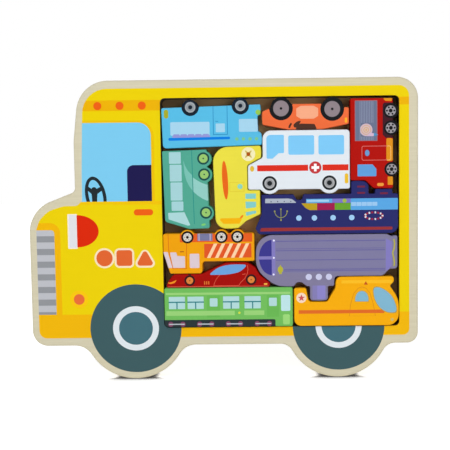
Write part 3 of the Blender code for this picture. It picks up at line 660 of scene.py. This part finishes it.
trees = {"row": rowTree(), "ring": ringTree()}
inkFilm = {"proud": 0.03, "pass": 0.01, "sunk": 0.12}  # mm above the face, more for each later ink, below it


def rowOf(colour, count, first, step, size, corner=0.0, slant=0.0):
    return "row", colour, {"Count": count, "First": first, "Step": step, "Width": size[0],
                           "Height": size[1], "Corner": corner, "Slant": slant}


def ringOf(colour, count, centre, radii, size, corner, phase=0.0):
    return "ring", colour, {"Count": count, "Centre": centre, "Radius X": radii[0], "Radius Z": radii[1],
                            "Width": size[0], "Height": size[1], "Corner": corner, "Phase": phase}


def buildMarks(name, node, body, look, marks):
    # marks: (kind of tree, colour, settings in mm)
    host = addObject(name, bpy.data.meshes.new(name))
    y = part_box(node)[0].y + inkFilm["sunk"] * mm
    for k, (kind, colour, sizes) in enumerate(marks):
        values = {"Colour": linear(look.get(colour, colour)),
                  "Thickness": (inkFilm["proud"] + inkFilm["pass"] * k + inkFilm["sunk"]) * mm}
        for label, value in sizes.items():
            if label in ("First", "Centre"):
                value = ((windowCorner.x + value[0]) * mm, y, (windowCorner.y + value[1]) * mm)
            elif label == "Step":
                value = (value[0] * mm, 0.0, value[1] * mm)
            elif label not in ("Count", "Slant", "Phase"):
                value = value * mm
            values[label] = value
        modifier = host.modifiers.new(kind, "NODES")
        modifier.node_group = trees[kind]
        for item in trees[kind].interface.items_tree:
            if item.in_out == "INPUT" and item.name in values:
                modifier[item.identifier] = values[item.name]
    graph = bpy.context.evaluated_depsgraph_get()
    mesh = bpy.data.meshes.new_from_object(
        host.evaluated_get(graph), preserve_all_data_layers=True, depsgraph=graph)
    mesh.name = name
    host.modifiers.clear()
    host.data = mesh
    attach(host, body)


# the tray

tray = {
    "name": "printed_tray_frame", "ground": "#DACFAE", "rounds": [(1.8, 0.3), (0.35, 0.3)],
    "eased": {"corner": (-62, 190.7), "reach": 42, "radius": 25.0},
    "yellow": "#E9CE04", "band": "#E9B003", "lowBand": "#EEB506", "sill": "#EDC106", "trim": "#E9BD06",
    "glass": "#7AC8EC", "seat": "#1B174A", "wheelRim": "#20292E", "wheels": ((-22.2, -0.3), (135.2, 0.3)),
    "tyre": "#3D5B60", "tyreRing": "#DCE4EA", "hub": "#426C78", "halo": "#F5E0BC", "bonnetMark": "#DD6430",
    "grille": "#BBBDC4", "grilleBar": "#919499", "lamp": "#D82806", "orange": "#E95F14",
}


def bonnetMarks(colour, grow):
    # a disc, a tile and a wedge
    tip = 1.9 * grow
    corners = [(-21.2 - tip, 48.6 - grow), (-6.6 + tip, 48.6 - grow), (-13.9, 61.8 + 1.6 * grow)]
    return [disc(colour, -45.3, 54.7, 6.3 + grow),
            patch(colour, -36.0 - grow, 48.6 - grow, -23.8 + grow, 60.8 + grow, 2.2 + grow),
            poly(colour, corners, 2.0 + grow)]


trayPiece = buildPlate("tray_frame", tray, [
    poly("yellow", [  # the printed sheet, which everything but the wheels lies on
        (-97.6, -7.6, 6), (190, -7.2, 5), (189.8, 184.4, 8), (-59, 184.4, 19), (-61.2, 122, 0),
        (-61.5, 99.4, 1.5), (-65.5, 95.4, 4), (-76, 95.3, 12), (-88, 91.6, 14), (-95, 84.6, 10),
        (-97.6, 77.5, 4)]),
    patch("band", -64, 167.6, 40, 175.6),
    patch("band", 150, 169.8, 195, 175.6),
    # painted shade: a more orange band under the windscreen
    patch("sill", -70, 95.9, 2, 98.6),
    patch("lowBand", -100, -10, 195, 10.9),
    # radiator
    poly("lowBand", [(-100, 8), (-79.2, 8), (-79.2, 82.4, 8), (-100, 82.4)]),
    poly("grille", [(-97.8, 11), (-83.8, 11), (-83.8, 76.8, 2.6), (-97.8, 76.8)]),
    # windscreen, seat and steering wheel
    poly("trim", [(-70, 98.5), (-5.3, 98.5), (-5.3, 160.4, 12), (-70, 160.4)]),
    poly("glass", [(-70, 98.5), (-7.5, 98.5), (-7.5, 158.6, 10), (-70, 158.6)]),
    poly("seat", [(-26.3, 98.5), (-7.5, 98.5), (-7.5, 126.2), (-26.3, 126.2, 5)]),
    disc("wheelRim", -50.8, 102.8, 8, 15.2, 11),
    disc("glass", -50.8, 102.8, 5.4, 12.6, 11),
    poly("wheelRim", [(-58, 108), (-57, 110.6), (-53.6, 108.1), (-50.4, 108.1), (-47.4, 109.8),
        (-46, 107), (-49.5, 104.4), (-49.9, 98), (-53.6, 98), (-54, 104.4)], 0.6),
    disc("wheelRim", -52, 107.5, 2.2),
    # the same painted shade, laid over the foot of the steering wheel
    patch("sill", -60.5, 96.2, -40, 98.5),
    patch("yellow", -62, 85, -38, 96.3),
    patch("orange", -21.8, 87.5, -6.9, 92.3, 2.3),
    # headlight
    patch("#F5EEDD", -73.2, 62.3, -65.8, 89.1, 0.6),
    patch("#DEDFE3", -72.3, 63, -66.3, 88.4, 0.3),
    shape("lamp", halfRound(-66.1, 75.8, 16.8, 12.5, -0.5)),
    disc("#F4C60C", -65.8, 22.8, 7),
    disc("#E46C38", -65.8, 22.8, 4.2),
    *bonnetMarks("halo", 1.5),
    *bonnetMarks("bonnetMark", 0),
    *[disc(colour, x, z, r, rz, free=True) for x, z in tray["wheels"] for colour, r, rz in (
        ("tyre", 35.5, 34.5), ("tyreRing", 17.9, 17.4), ("hub", 13.2, 12.9))],
], [bareWood, traySheet, burntWood], sheet=0, ink=1, wall=2)
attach(trayPiece, "tray")
buildMarks("tray_print_marks", "tray_frame", "tray", tray, [
    rowOf("orange", 3, (-47.8, 171.4), (17, 0), (6.2, 6.2), 3.1),
    rowOf("grilleBar", 6, (-90.7, 69.9), (0, -9.87), (13.6, 4.8)),
    rowOf("grilleBar", 1, (-90.7, 12.1), (0, 0), (13.6, 2)),
])

backBoard = {
    "name": "smoke_toned_back_board", "ground": plyLook["veneerLight"], "rounds": [(0.15, 0.7)],
    "eased": tray["eased"],
}
boardPiece = buildPlate("back_board", backBoard, [], [floorWood])
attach(boardPiece, "tray")
print("tray built,", len(trayPiece.data.polygons), "faces")


# the blocks

def buildBlock(look, shapes, marks=()):
    node = look["node"]
    look = {"name": node + "_block", "rounds": [(0.85, 0.85)], **look}
    piece = buildPlate(node, look, shapes, [blockPaint])
    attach(piece, node)
    if marks:
        buildMarks(node + "_print_marks", node, node, look, marks)
    print(node, "block built,", len(piece.data.polygons), "faces")


camper = {
    "node": "camper", "ground": "#56B9E1", "glass": "#A3D1E9", "seam": "#2583BC", "tyre": "#14202C",
    "awning": "#0E7CDD", "fringe": "#9094D2", "lime": "#7AC492", "runsDown": ("tyre",),
    "eased": {"corner": (1.82, 138.48), "reach": 2.6, "radius": 3.0},
}
buildBlock(camper, [
    patch("glass", 7.8, 148.2, 37.8, 158.4, 0.9),
    patch("fringe", 9.2, 146.6, 38.2, 148.2, 0.5),
    poly("awning", [(6.2, 144.3), (53.2, 145), (53.4, 147), (6.2, 146.5)], 1),
    *framed("seam", 40.4, 148.4, 51.6, 175, 0.3, 0.5),
    patch("glass", 42.5, 150.4, 49.5, 157, 0.5),
    line("seam", [(42.2, 158.7), (44.5, 158.6)], 0.4),
    patch("glass", 60.2, 150.5, 74.4, 160.2, 0.8),
    patch("#A3A62A", 3.1, 161.2, 6.5, 167.9, 1.6),
    disc("#93C452", 74.8, 165.2, 1.9),
    *wheels(((23.3, 169.5), (61.5, 170.2)), (
        (6.6, "tyre"), (4, "#A3AAAF"), (3.1, "#8D949A"), (1.6, "tyre"))),
], [
    rowOf("fringe", 5, (12.4, 148.3), (5.6, 0), (5, 1.8), 0.85),
    rowOf("lime", 4, (58.5, 145.1), (5, 0), (2.6, 2.6), 1.3),
])

raceCar = {
    "node": "race_car", "ground": "#E96B3B", "tyre": "#111417", "hub": "#8B7F85", "cockpit": "#4A2E24",
    "runsDown": ("tyre",),
}
buildBlock(raceCar, [
    poly("#F2A884", [(104, 161.8), (107.3, 159.8), (117.3, 159.8), (120.6, 161.8), (120.6, 167.6),
        (117.3, 169.5), (107.3, 169.5), (104, 167.6)], 0.6),
    poly("cockpit", [(102.6, 150), (104.4, 154.6), (107.2, 156.2), (117.8, 155.8), (120.4, 150)], 1),
    curved("cockpit", [(101.8, 155.2), (104.2, 157.6), (107.2, 158.2), (106.3, 155.8), (104.8, 153.6),
        (102.6, 153.3)]),
    line("cockpit", [(98.4, 153), (99.1, 154.8), (100.2, 156.5)], 1.5),
    patch("#F7AE28", 140.8, 156.4, 142.6, 160.4, 0.8),
    *wheels(((92.4, 167.8), (131.3, 166.9)), ((9, "tyre"), (6, "hub"), (1, "tyre"))),
])

fireTruck = {
    "node": "fire_truck", "ground": "#AD0E05", "locker": "#68718C", "lockerBar": "#8C93AC",
    "tyre": "#131216", "hub": "#9B989E", "wheels": ((175.6, 165.1), (175.8, 152.1), (176.3, 120.8)),
    "amber": "#DC8E1A", "well": "#3C1822", "runsDown": ("tyre", "well"),
}
buildBlock(fireTruck, [
    poly("well", [(169.5, 147), (171.8, 144.6), (182, 144.6), (182, 171.2), (170.5, 171.2),
        (169.5, 169.6)], 1),
    patch("#A07078", 148.4, 142.4, 165.5, 173, 0.3),
    patch("locker", 148.8, 142.8, 165.1, 172.6, 0.3),
    *wheels([(157, 150.8)], (
        (4.8, "#CDB3BE"), (3.7, "#D0A684"), (3.1, "#D0B8BC"), (2.2, "#D0A67C"), (1.5, "#D0B8B4"),
        (0.7, "#D6A860"))),  # the rolled-up hose
    poly("#CDB1CC", [(157, 146), (162.6, 146), (163.2, 147.9), (160, 148.8)], 0.4),
    poly("#4C8FBE", [(162.6, 145.8), (166.3, 147), (163, 148.7)], 0.3),
    patch("amber", 172.3, 127, 176.8, 144.4, 1.2),
    *framed("#D8706A", 153.5, 127.6, 175.9, 138.7, 1.4, 0.45),
    patch("#F2BE6A", 172.3, 127.6, 175.9, 138.7, 1.4),
    patch("amber", 172.3, 128.1, 175.4, 138.2, 1),
    disc("#7E3458", 157.7, 133.3, 2, 2.6),
    disc("#6A96CA", 157.7, 133.3, 1.7, 2.3),
    poly("#5E9BD6", [(150.3, 115.6), (164.6, 115.6), (164.6, 121.2), (161.7, 124.6), (150.3, 124.6)], 0.5),
    patch("#E8993A", 165.2, 108, 170.3, 110.4, 1.1),
    patch("amber", 173.3, 108.9, 178, 115.2, 0.4),
    poly("amber", [(169.6, 174.6), (171.6, 172.5), (176.4, 172.3), (176.4, 175.2)], 0.4),
    *wheels(fireTruck["wheels"], ((5.6, "tyre"), (3.95, "hub"), (1.45, "tyre"))),
], [
    rowOf("lockerBar", 1, (152.3, 157.7), (1.25, 0), (0.4, 29.4)),
    rowOf("lockerBar", 8, (153.4, 164.3), (1.25, 0), (0.45, 16.4)),
    rowOf("lockerBar", 8, (153.4, 144.3), (1.25, 0), (0.45, 2.8)),
    *[ringOf("tyre", 6, spot, (2.8, 2.8), (1.5, 1.5), 0.75) for spot in fireTruck["wheels"]],
])

ambulance = {
    "node": "ambulance", "ground": "#DEE5EC", "glass": "#7CC6F2", "stripe": "#D82E1E", "cross": "#FBFBFB",
    "tyre": "#1F2326",
}
buildBlock(ambulance, [
    poly("glass", [(81, 129.8, 1), (85.6, 129.8, 1), (90.2, 133.9, 0), (94.4, 133.9), (94.4, 147.9),
        (80.9, 147.9, 3.2)], 1),
    patch("glass", 97.6, 132.6, 117.4, 147.3, 1.4),
    patch("glass", 120.6, 132.5, 140.2, 147.2, 1.4),
    patch("stripe", 73.7, 120.3, 112.6, 124.9),
    patch("stripe", 123.6, 120.3, 143.4, 124.9),
    disc("#C0383C", 118.1, 122.7, 4.7),
    patch("cross", 115.2, 121.7, 121, 123.7),
    patch("cross", 117.1, 119.8, 119.1, 125.6),
    disc("#DDB53A", 69.8, 122.3, 1.6, 2.2),
    patch("#E6B92E", 140.5, 110.3, 143.2, 117.9, 1.2),
    *wheels(((83.1, 111), (128.8, 111)), (
        (5.6, "tyre"), (4, "#A9ABAE"), (3, "#94969A"), (1.9, "tyre"))),
])

coach = {
    "node": "coach", "ground": "#50A48F", "glass": "#A2CFD4", "tyre": "#1D4A48", "hub": "#95C46C",
    "seam": "#2F8E86",
}
buildBlock(coach, [
    shape("#76BDB0", [(17.2, 129.3), (18.4, 125.4), (20.6, 121.4), (23.9, 117.8), (24.4, 105.6),
        (21.6, 109.4), (19.4, 113.8), (18, 119.4)]),
    shape("#90CAC2", [(24.4, 116.2), (28, 113.7), (31.8, 111.7), (35.9, 110.4), (35.9, 98),
        (31.4, 100), (27.6, 102.6), (24.4, 105.6)]),
    line("seam", [(23.7, 140), (24.2, 112), (24.9, 80.5)], 0.6),
    *[patch("glass", *corners, 0.7) for corners in (
        (6.3, 126.8, 15.4, 135.7), (6.7, 113.3, 15.8, 126.1), (7.1, 98.7, 16.2, 112.6),
        (7.6, 90.8, 16.7, 98))],
    poly("#A9D4D6", [(4.8, 89.3), (17.4, 89.7), (21.8, 79.6), (20, 79.3), (5.1, 84.3)], 0.5),
    disc("#7CC86C", 31.9, 80, 1.8, 0.8, 12),
    patch("#B5705E", 26.5, 137.2, 33, 138, 0.3),
    *wheels(((32.6, 130.6), (33.1, 118.4), (34, 89.2)), ((4.7, "tyre"), (3.3, "hub"), (0.6, "tyre"))),
])

airplane = {
    "node": "airplane", "ground": "#E6DA44", "wing": "#E4651A", "glass": "#80C8C6", "seam": "#D8BC2C",
    "eased": {"corner": (39.7, 139), "reach": 9.5, "radius": 11.5},
}
buildBlock(airplane, [
    disc("#EFE8B8", 67.1, 133.5, 5.3),
    *[disc("#C9B25E", 67.1, 133.5, 0.85, 3.7, turn) for turn in (42, -42)],
    disc("#A8500F", 67.1, 133.5, 1.5),
    disc("wing", 49, 113.9, 2.2, 14.8, 3),
    *framed("seam", 52.4, 105.1, 63.6, 112.3, 0.3, 0.28),
    disc("#8CD3BD", 60.4, 108.9, 2),
    poly("glass", [(64.4, 99.3), (72.5, 99.5), (72.5, 103.4), (64.4, 103.4)], 0.4),
    poly("glass", [(64.6, 92), (72.5, 92.9), (72.5, 97.1), (64.4, 97.3)], 0.4),
    poly("glass", [(64.8, 86.2), (72.5, 88.4), (72.5, 90.3), (64.5, 89.2)], 0.4),
    poly("#F2B20C", [(43.4, 84.6), (62, 84.8), (59.6, 80.4), (47.4, 80.4)], 1),
    disc("#EF7D1B", 61.3, 85.6, 0.8, 1.8, -42),
])

ship = {
    "node": "ship", "ground": "#272A66", "porthole": "#9CC8EE", "mark": "#93964A", "red": "#953234",
    "funnel": "#702640",
}
buildBlock(ship, [
    poly("#ABB4C2", [(79.4, 95.9), (103.6, 95.9), (100.4, 98.6, 2), (97.4, 99.3, 2), (79.6, 99.3)], 0.3),
    line("mark", [(91.5, 82.8), (91.5, 91.2)], 0.45),
    line("mark", halfRound(91.5, 89.5, 4.75, 4.85, 1, 12), 0.45),
    *[disc("mark", x, z, 0.65) for x, z in ((91.5, 91.2), (86.7, 89.6), (96.3, 89.6), (91.5, 82.8))],
    poly("#B99A1E", [(107.2, 95.5), (110.4, 91.9, 3), (113.6, 90.2, 2), (119.2, 90.2), (119.2, 95.5)]),
    patch("#9C1C4C", 119.2, 90.2, 132.8, 95.5),
    patch("#66A02E", 132.8, 90.2, 145, 95.5),
    patch("#5BA4DC", 110.9, 95.6, 130.8, 98.8, 0.2),
    patch("#9FCBEA", 111.4, 96.5, 128.4, 98.1, 0.3),
    patch("#7B73C3", 130.8, 95.6, 145, 98.8),
    disc("#9CB546", 140.3, 97.2, 1.6),
    poly("#57A3DF", [(145, 90), (183, 90), (183, 98.8), (145, 98.8)], 0.4),
    *[disc("porthole", x, 84.2, 2.1) for x in (105.2, 117.1)],
    poly("red", [(75.2, 74.2), (176.8, 74.7), (176.8, 76.9), (76.2, 76.9)], 0.5),
], [
    rowOf("#3C4464", 4, (84, 97), (5.05, 0), (0.9, 0.9), 0.45),
    rowOf("porthole", 2, (131.4, 84.2), (14.3, 0), (4.2, 4.2), 2.1),
    rowOf("#98C4EA", 5, (147.2, 94.5), (4.05, 0), (3.8, 3), 0.3),
    ringOf("#96243E", 9, (162.6, 85.4), (6.7, 2.6), (1.7, 1.4), 0.25, phase=pi / 9),
    ringOf("#DDD4DE", 9, (162.6, 85.4), (6.7, 2.6), (1.2, 1.5), 0.25),
    rowOf("funnel", 2, (153, 107.8), (0, -4.8), (6, 1.4), 0.4),
    rowOf("funnel", 1, (170.4, 102.5), (0, 0), (6, 1.4), 0.4),
])

submarine = {
    "node": "submarine", "ground": "#7F7A99", "hull": "#7C799E", "dome": "#3B388A", "lilac": "#8079BC",
    "mark": "#B4B03A", "seam": "#625E9C",
}
buildBlock(submarine, [
    patch("hull", 86.8, 42, 171.5, 67.8, 0.4),
    shape("dome", halfRound(84.2, 54, 10, 13.6, 0.5)),
    patch("lilac", 73.6, 52.6, 84.4, 55),
    patch("lilac", 84, 40, 86.8, 68.2, 0.3),
    *[disc("#E9E7F8", x, z, 0.75) for x, z in ((85.8, 67.1), (85.6, 53.8), (85.3, 40.9))],
    poly("lilac", [(171.6, 42.8), (176.4, 46.8), (176.5, 65.4), (171.8, 68)], 0.3),
    line("mark", [(177.9, 67.4), (178.5, 64.2), (178.2, 60.4), (176.9, 56.8), (177.8, 52.8),
        (178.3, 49.2), (178, 46.4)], 1),
    disc("mark", 90.6, 44.6, 2.1, 2.6),
    poly("mark", [(89.3, 41.2), (91.9, 41.2), (90.6, 43.6)], 0.2),
    poly("mark", [(89.9, 46.6), (91.3, 46.6), (90.9, 48.2), (90.3, 48.2)], 0.2),
    patch("#827CB2", 115.2, 21.5, 125.2, 32, 0.5),
    patch("#8A83C6", 118.8, 21.5, 125.2, 32, 0.5),
], [
    rowOf("seam", 3, (129.2, 66.5), (0, -7.3), (84, 0.55)),
    rowOf("seam", 1, (129.2, 60.6), (0, 0), (84, 0.35)),
    rowOf("seam", 2, (132.4, 44.6), (0, -1.1), (77.6, 0.45)),
    rowOf("#C6C8E6", 3, (112.4, 38.7), (7.75, 0), (4.8, 4.8), 2.4),
])

craneTruck = {
    "node": "crane_truck", "ground": "#ECA00A", "band": "#E05C20", "panel": "#DC5626", "glass": "#D9C8D0",
    "seam": "#D56A14", "tyre": "#1F1612", "wheels": ((19.3, 70.35), (45.5, 70.35), (57.8, 70.35)),
}
buildBlock(craneTruck, [
    poly("seam", [(4.1, 75), (4.5, 60), (7.4, 45.9), (18.5, 45.9), (19, 75)]),
    poly("ground", [(4.6, 75), (5, 60.1), (7.9, 46.4), (18, 46.4), (18.5, 75)]),
    patch("band", 13.4, 66.5, 69.2, 72.4, 0.4),
    patch("#74769C", 27, 67.5, 38.6, 72.4),
    *[patch("#A89FBC", x, 67.5, x + 1.3, 72.4) for x in (27.6, 36.3)],
    patch("panel", 32.1, 54.3, 68.5, 65.2),
    poly("glass", [(0.2, 59.1), (3.9, 59.1), (7.4, 46.8), (4.2, 46.8)], 0.3),
    poly("glass", [(5.6, 58.8), (10.4, 58.8), (11.3, 56), (17.1, 55.7), (17.1, 46.8), (7.9, 46.8)], 0.5),
    patch("glass", 20.8, 46.6, 28.2, 57.6, 0.9),
    line("#A35018", [(13.4, 59.2), (16.4, 59.3)], 0.7),
    *wheels(craneTruck["wheels"], ((4.8, "tyre"), (3.3, "#D4CFC9"), (1.1, "tyre"))),
], [
    rowOf("#F9D1A6", 5, (38.2, 59.75), (6.15, 0), (2.7, 11), slant=0.5),
    *[ringOf("tyre", 6, spot, (2.1, 2.1), (0.6, 0.6), 0.3) for spot in craneTruck["wheels"]],
])

sportsCar = {
    "node": "sports_car", "ground": "#A00A04", "glass": "#6AA0DA", "seam": "#D95A45", "tyre": "#331518",
    "flame": "#F0901F",
}
buildBlock(sportsCar, [
    line("seam", [(44.2, 41.6), (41.2, 38), (39.6, 34.8), (39, 32.6), (58.4, 32.6), (59.8, 35),
        (63, 38), (65.2, 42), (65.6, 45.4), (65.2, 48.6)], 0.4),
    curved("glass", [(36.3, 41.6), (42.4, 46.4), (50, 48.6), (58, 49), (63.9, 48.4), (62, 45.4),
        (57.6, 42.8), (50, 41.4), (42, 41.1)]),
    poly("flame", [(3, 35), (6.4, 35.8), (10.6, 37.5), (8.8, 35), (5.8, 34.3)], 0.2),
    patch("#F2B448", 77.8, 32.9, 80.4, 34.3, 0.5),
    line("seam", [(61.2, 41.2), (63.8, 41.6)], 0.5),
    *wheels(((20.5, 36.8), (68, 37.1)), ((4.2, "tyre"), (2.7, "#D9803A"), (0.55, "#8A5428"))),
], [
    rowOf("#D9762F", 3, (32, 34.9), (1.6, 0), (0.8, 2.6), 0.2),
])

train = {
    "node": "train", "ground": "#70BA5C", "pale": "#97CF78", "door": "#68B454", "glass": "#B0D7D8",
    "bar": "#2F8088", "under": "#2A3437", "bogie": "#7C4462", "runsDown": ("under",),
}
buildBlock(train, [
    patch("pale", 1.7, 25.7, 98, 27.4, 0.4),
    poly("under", [(-2, -3), (86.4, -3), (86.4, 6.2, 1.2), (-2, 6.2)]),
    *[part for x in (4, 18.5, 46, 62.6) for part in (
        patch("glass", x, 14.7, x + 12.5, 24.3, 0.3), patch("bar", x - 0.2, 19.5, x + 12.7, 20.5),
        patch("bar", x + 5.8, 14.7, x + 6.7, 19.7))],
    *[patch("door", x0, 8, x1, 25, 0.6) for x0, x1 in ((33.4, 43.4), (79.8, 89.2))],
    patch("glass", 35.7, 16.4, 41.7, 22.9, 0.8),
    patch("glass", 81.5, 16.4, 87.6, 22.9, 0.8),
    patch("#BCE2E6", 90.8, 12.5, 98, 24.9, 1),
    patch("pale", 1.8, 9.5, 54.9, 13.1, 0.2),
    patch("pale", 62.2, 9.5, 77.8, 13.1, 0.2),
    disc("#D8DF47", 58.5, 11.4, 0.9),
    patch("#99D479", 92.2, 2, 97.5, 9.9, 1.2),
], [
    rowOf("bogie", 4, (5.2, 2.8), (22.35, 0), (4, 4), 2),
    rowOf("bogie", 4, (14.6, 2.8), (22.35, 0), (4, 4), 2),
    rowOf("#B6C1C8", 4, (9.9, 2.8), (22.35, 0), (12.2, 0.85), 0.4),
])

helicopter = {
    "node": "helicopter", "ground": "#F3AB0A", "glass": "#7FB4CE", "seam": "#D8881A", "line": "#DC6A26",
}
doorWindow = [(148.2, 19.4), (158.2, 19.4), (158.1, 22.4), (157.1, 25.2), (155.3, 26.9), (153.2, 27.4),
              (151.1, 26.9), (149.3, 25.2), (148.3, 22.4)]
pane = [(161.8, 29.4), (164.4, 30.9), (168.6, 29.8), (173.2, 26.8), (177.2, 22.2), (179.8, 15.8),
        (180.2, 11.2), (177.4, 9.8), (172.2, 10.6), (167.2, 13.8), (163.6, 19), (161.9, 24.6)]
buildBlock(helicopter, [
    # painted highlight: a lighter band along the top edge
    patch("#F7BC24", 137.5, 33.4, 176.5, 35.8, 0.6),
    line("#E9A014", [(143.6, 8), (163.6, 8)], 0.35),
    line("seam", [(143.6, 8), (144.4, 17), (147, 25.6), (150.4, 29.6), (153.2, 30.6), (156.4, 29.6),
        (159.6, 25.6), (162, 17), (163.6, 8)], 0.45),
    patch("line", 104.3, 10.1, 170.5, 12.9, 0.3),
    disc("#F2D8C2", 106.6, 22.5, 3.9),
    star("#CC5254", 106.6, 22.4, 2.9, 1.25),
    poly("#C89E44", scaled(doorWindow, (153.2, 23), 1.13), 0.4),
    poly("glass", doorWindow, 0.4),
    curved("#B79A48", pane),
    curved("glass", scaled(pane, (171.2, 20.6), 0.93)),
    poly("#C4531F", [(154.7, 32.3), (157.9, 32.3), (156.3, 35.1)], 0.2),
    disc("#C8B46C", 176.5, 5, 1.2),
])


# floor, light and camera

floorLook = {
    "size": 8, "paper": "#EEEEEE", "shadedPaper": "#46464C",
    "glow": (0.74, 0.86), "glowSpread": (0.25, 1.1),  # near and far from the object, metres
    "thrownUp": 0.30,  # glow that reaches the object, as light from the paper
    "nookReach": (0.014, 0.0035), "nookBetween": (-0.018, -0.004),  # metres, in front of and under it
    "nookShut": (0.45, 0.97), "leftInNook": 0.05,
}


def seenRays(tree):
    ray = addNode(tree, "ShaderNodeLightPath")
    return ray, calc(tree, "MAXIMUM", ray.outputs["Is Camera Ray"], ray.outputs["Is Glossy Ray"])


def buildStage(look):
    bpy.ops.mesh.primitive_plane_add(size=look["size"])
    ground = bpy.context.object
    ground.name = "studio_floor"
    material = bpy.data.materials.new("paleStudioPaper")
    tree = bareTree(material)
    seen = seenRays(tree)[1]
    place = ownPlace(tree)
    away = addNode(tree, "ShaderNodeVectorMath", {0: place}, operation="LENGTH").outputs["Value"]
    white = ranged(tree, away, look["glowSpread"], look["glow"])
    # painted contact shadow: glow and paper darken under the wheels, where they are shut off from the light
    reach = ranged(tree, axis(tree, place, "Y"), look["nookBetween"], look["nookReach"])
    nook = addNode(tree, "ShaderNodeAmbientOcclusion", {"Distance": reach}, samples=8).outputs["AO"]
    clear = ranged(tree, nook, look["nookShut"], (look["leftInNook"], 1.0))
    glow = ranged(tree, seen, to=(look["thrownUp"], calc(tree, "MULTIPLY", clear, white)))
    whole = calc(tree, "MAXIMUM", calc(tree, "SUBTRACT", 1.0, seen), clear)
    shade = blend(tree, whole, look["shadedPaper"], look["paper"])
    paper = addNode(tree, "ShaderNodeBsdfDiffuse", {"Color": shade})
    lift = addNode(tree, "ShaderNodeEmission", {"Color": (1, 1, 1, 1), "Strength": glow})
    both = addNode(tree, "ShaderNodeAddShader", {0: paper, 1: lift})
    addNode(tree, "ShaderNodeOutputMaterial", {"Surface": both})
    ground.data.materials.append(material)


def buildWorld(level):
    # white where it is seen, dimmer as a light
    world = bpy.data.worlds.new("studio")
    bpy.context.scene.world = world
    tree = bareTree(world)
    ray, seen = seenRays(tree)
    clear = calc(tree, "MAXIMUM", seen, ray.outputs["Is Transmission Ray"])
    sky = addNode(tree, "ShaderNodeBackground", {
        "Color": (1, 1, 1, 1), "Strength": ranged(tree, clear, to=(level, 1.0))})
    addNode(tree, "ShaderNodeOutputWorld", {"Surface": sky})


def addLamp(name, spot, aim, size, power):
    data = bpy.data.lights.new(name, "AREA")
    data.shape = "SQUARE"
    data.size = size
    data.energy = power
    lamp = addObject(name, data)
    lamp.location = spot
    lamp.rotation_euler = (Vector(aim) - Vector(spot)).to_track_quat("-Z", "Y").to_euler()


cameraLook = {  # found from points all round the tray in the picture
    "spot": (0.0462, -0.7254, 0.1612), "azimuth": -0.82, "elevation": 4.53, "roll": -0.68,
    "focal": 932.2 / 450, "sensor": 36,  # image widths, mm
    "shift": (-0.100, 0.042),  # the picture is cut a little off its lens axis
}


def buildCamera(look):
    az, el, roll = (radians(look[key]) for key in ("azimuth", "elevation", "roll"))
    ahead = Vector((sin(az) * cos(el), cos(az) * cos(el), -sin(el)))
    right = ahead.cross(Vector((0, 0, 1))).normalized()
    up = right.cross(ahead)
    across = right * cos(roll) + up * sin(roll)
    upright = up * cos(roll) - right * sin(roll)
    data = bpy.data.cameras.new("camera")
    data.sensor_width = look["sensor"]
    data.lens = look["focal"] * look["sensor"]
    data.shift_x, data.shift_y = look["shift"]
    camera = addObject("camera", data)
    turned = Matrix((across, upright, -ahead)).transposed().to_4x4()
    camera.matrix_world = Matrix.Translation(look["spot"]) @ turned
    bpy.context.scene.camera = camera


buildStage(floorLook)
buildWorld(level=0.298)
addLamp("softbox", spot=(-0.6, -1.95, 2.0), aim=(0, 0, 0.11), size=2.0, power=40.5)
addLamp("fill", spot=(0.7, -1.25, 0.06), aim=(0, 0, 0.08), size=0.9, power=6.1)
buildCamera(cameraLook)
bpy.context.scene.view_settings.view_transform = "Standard"
print("stage, lamps and camera set")
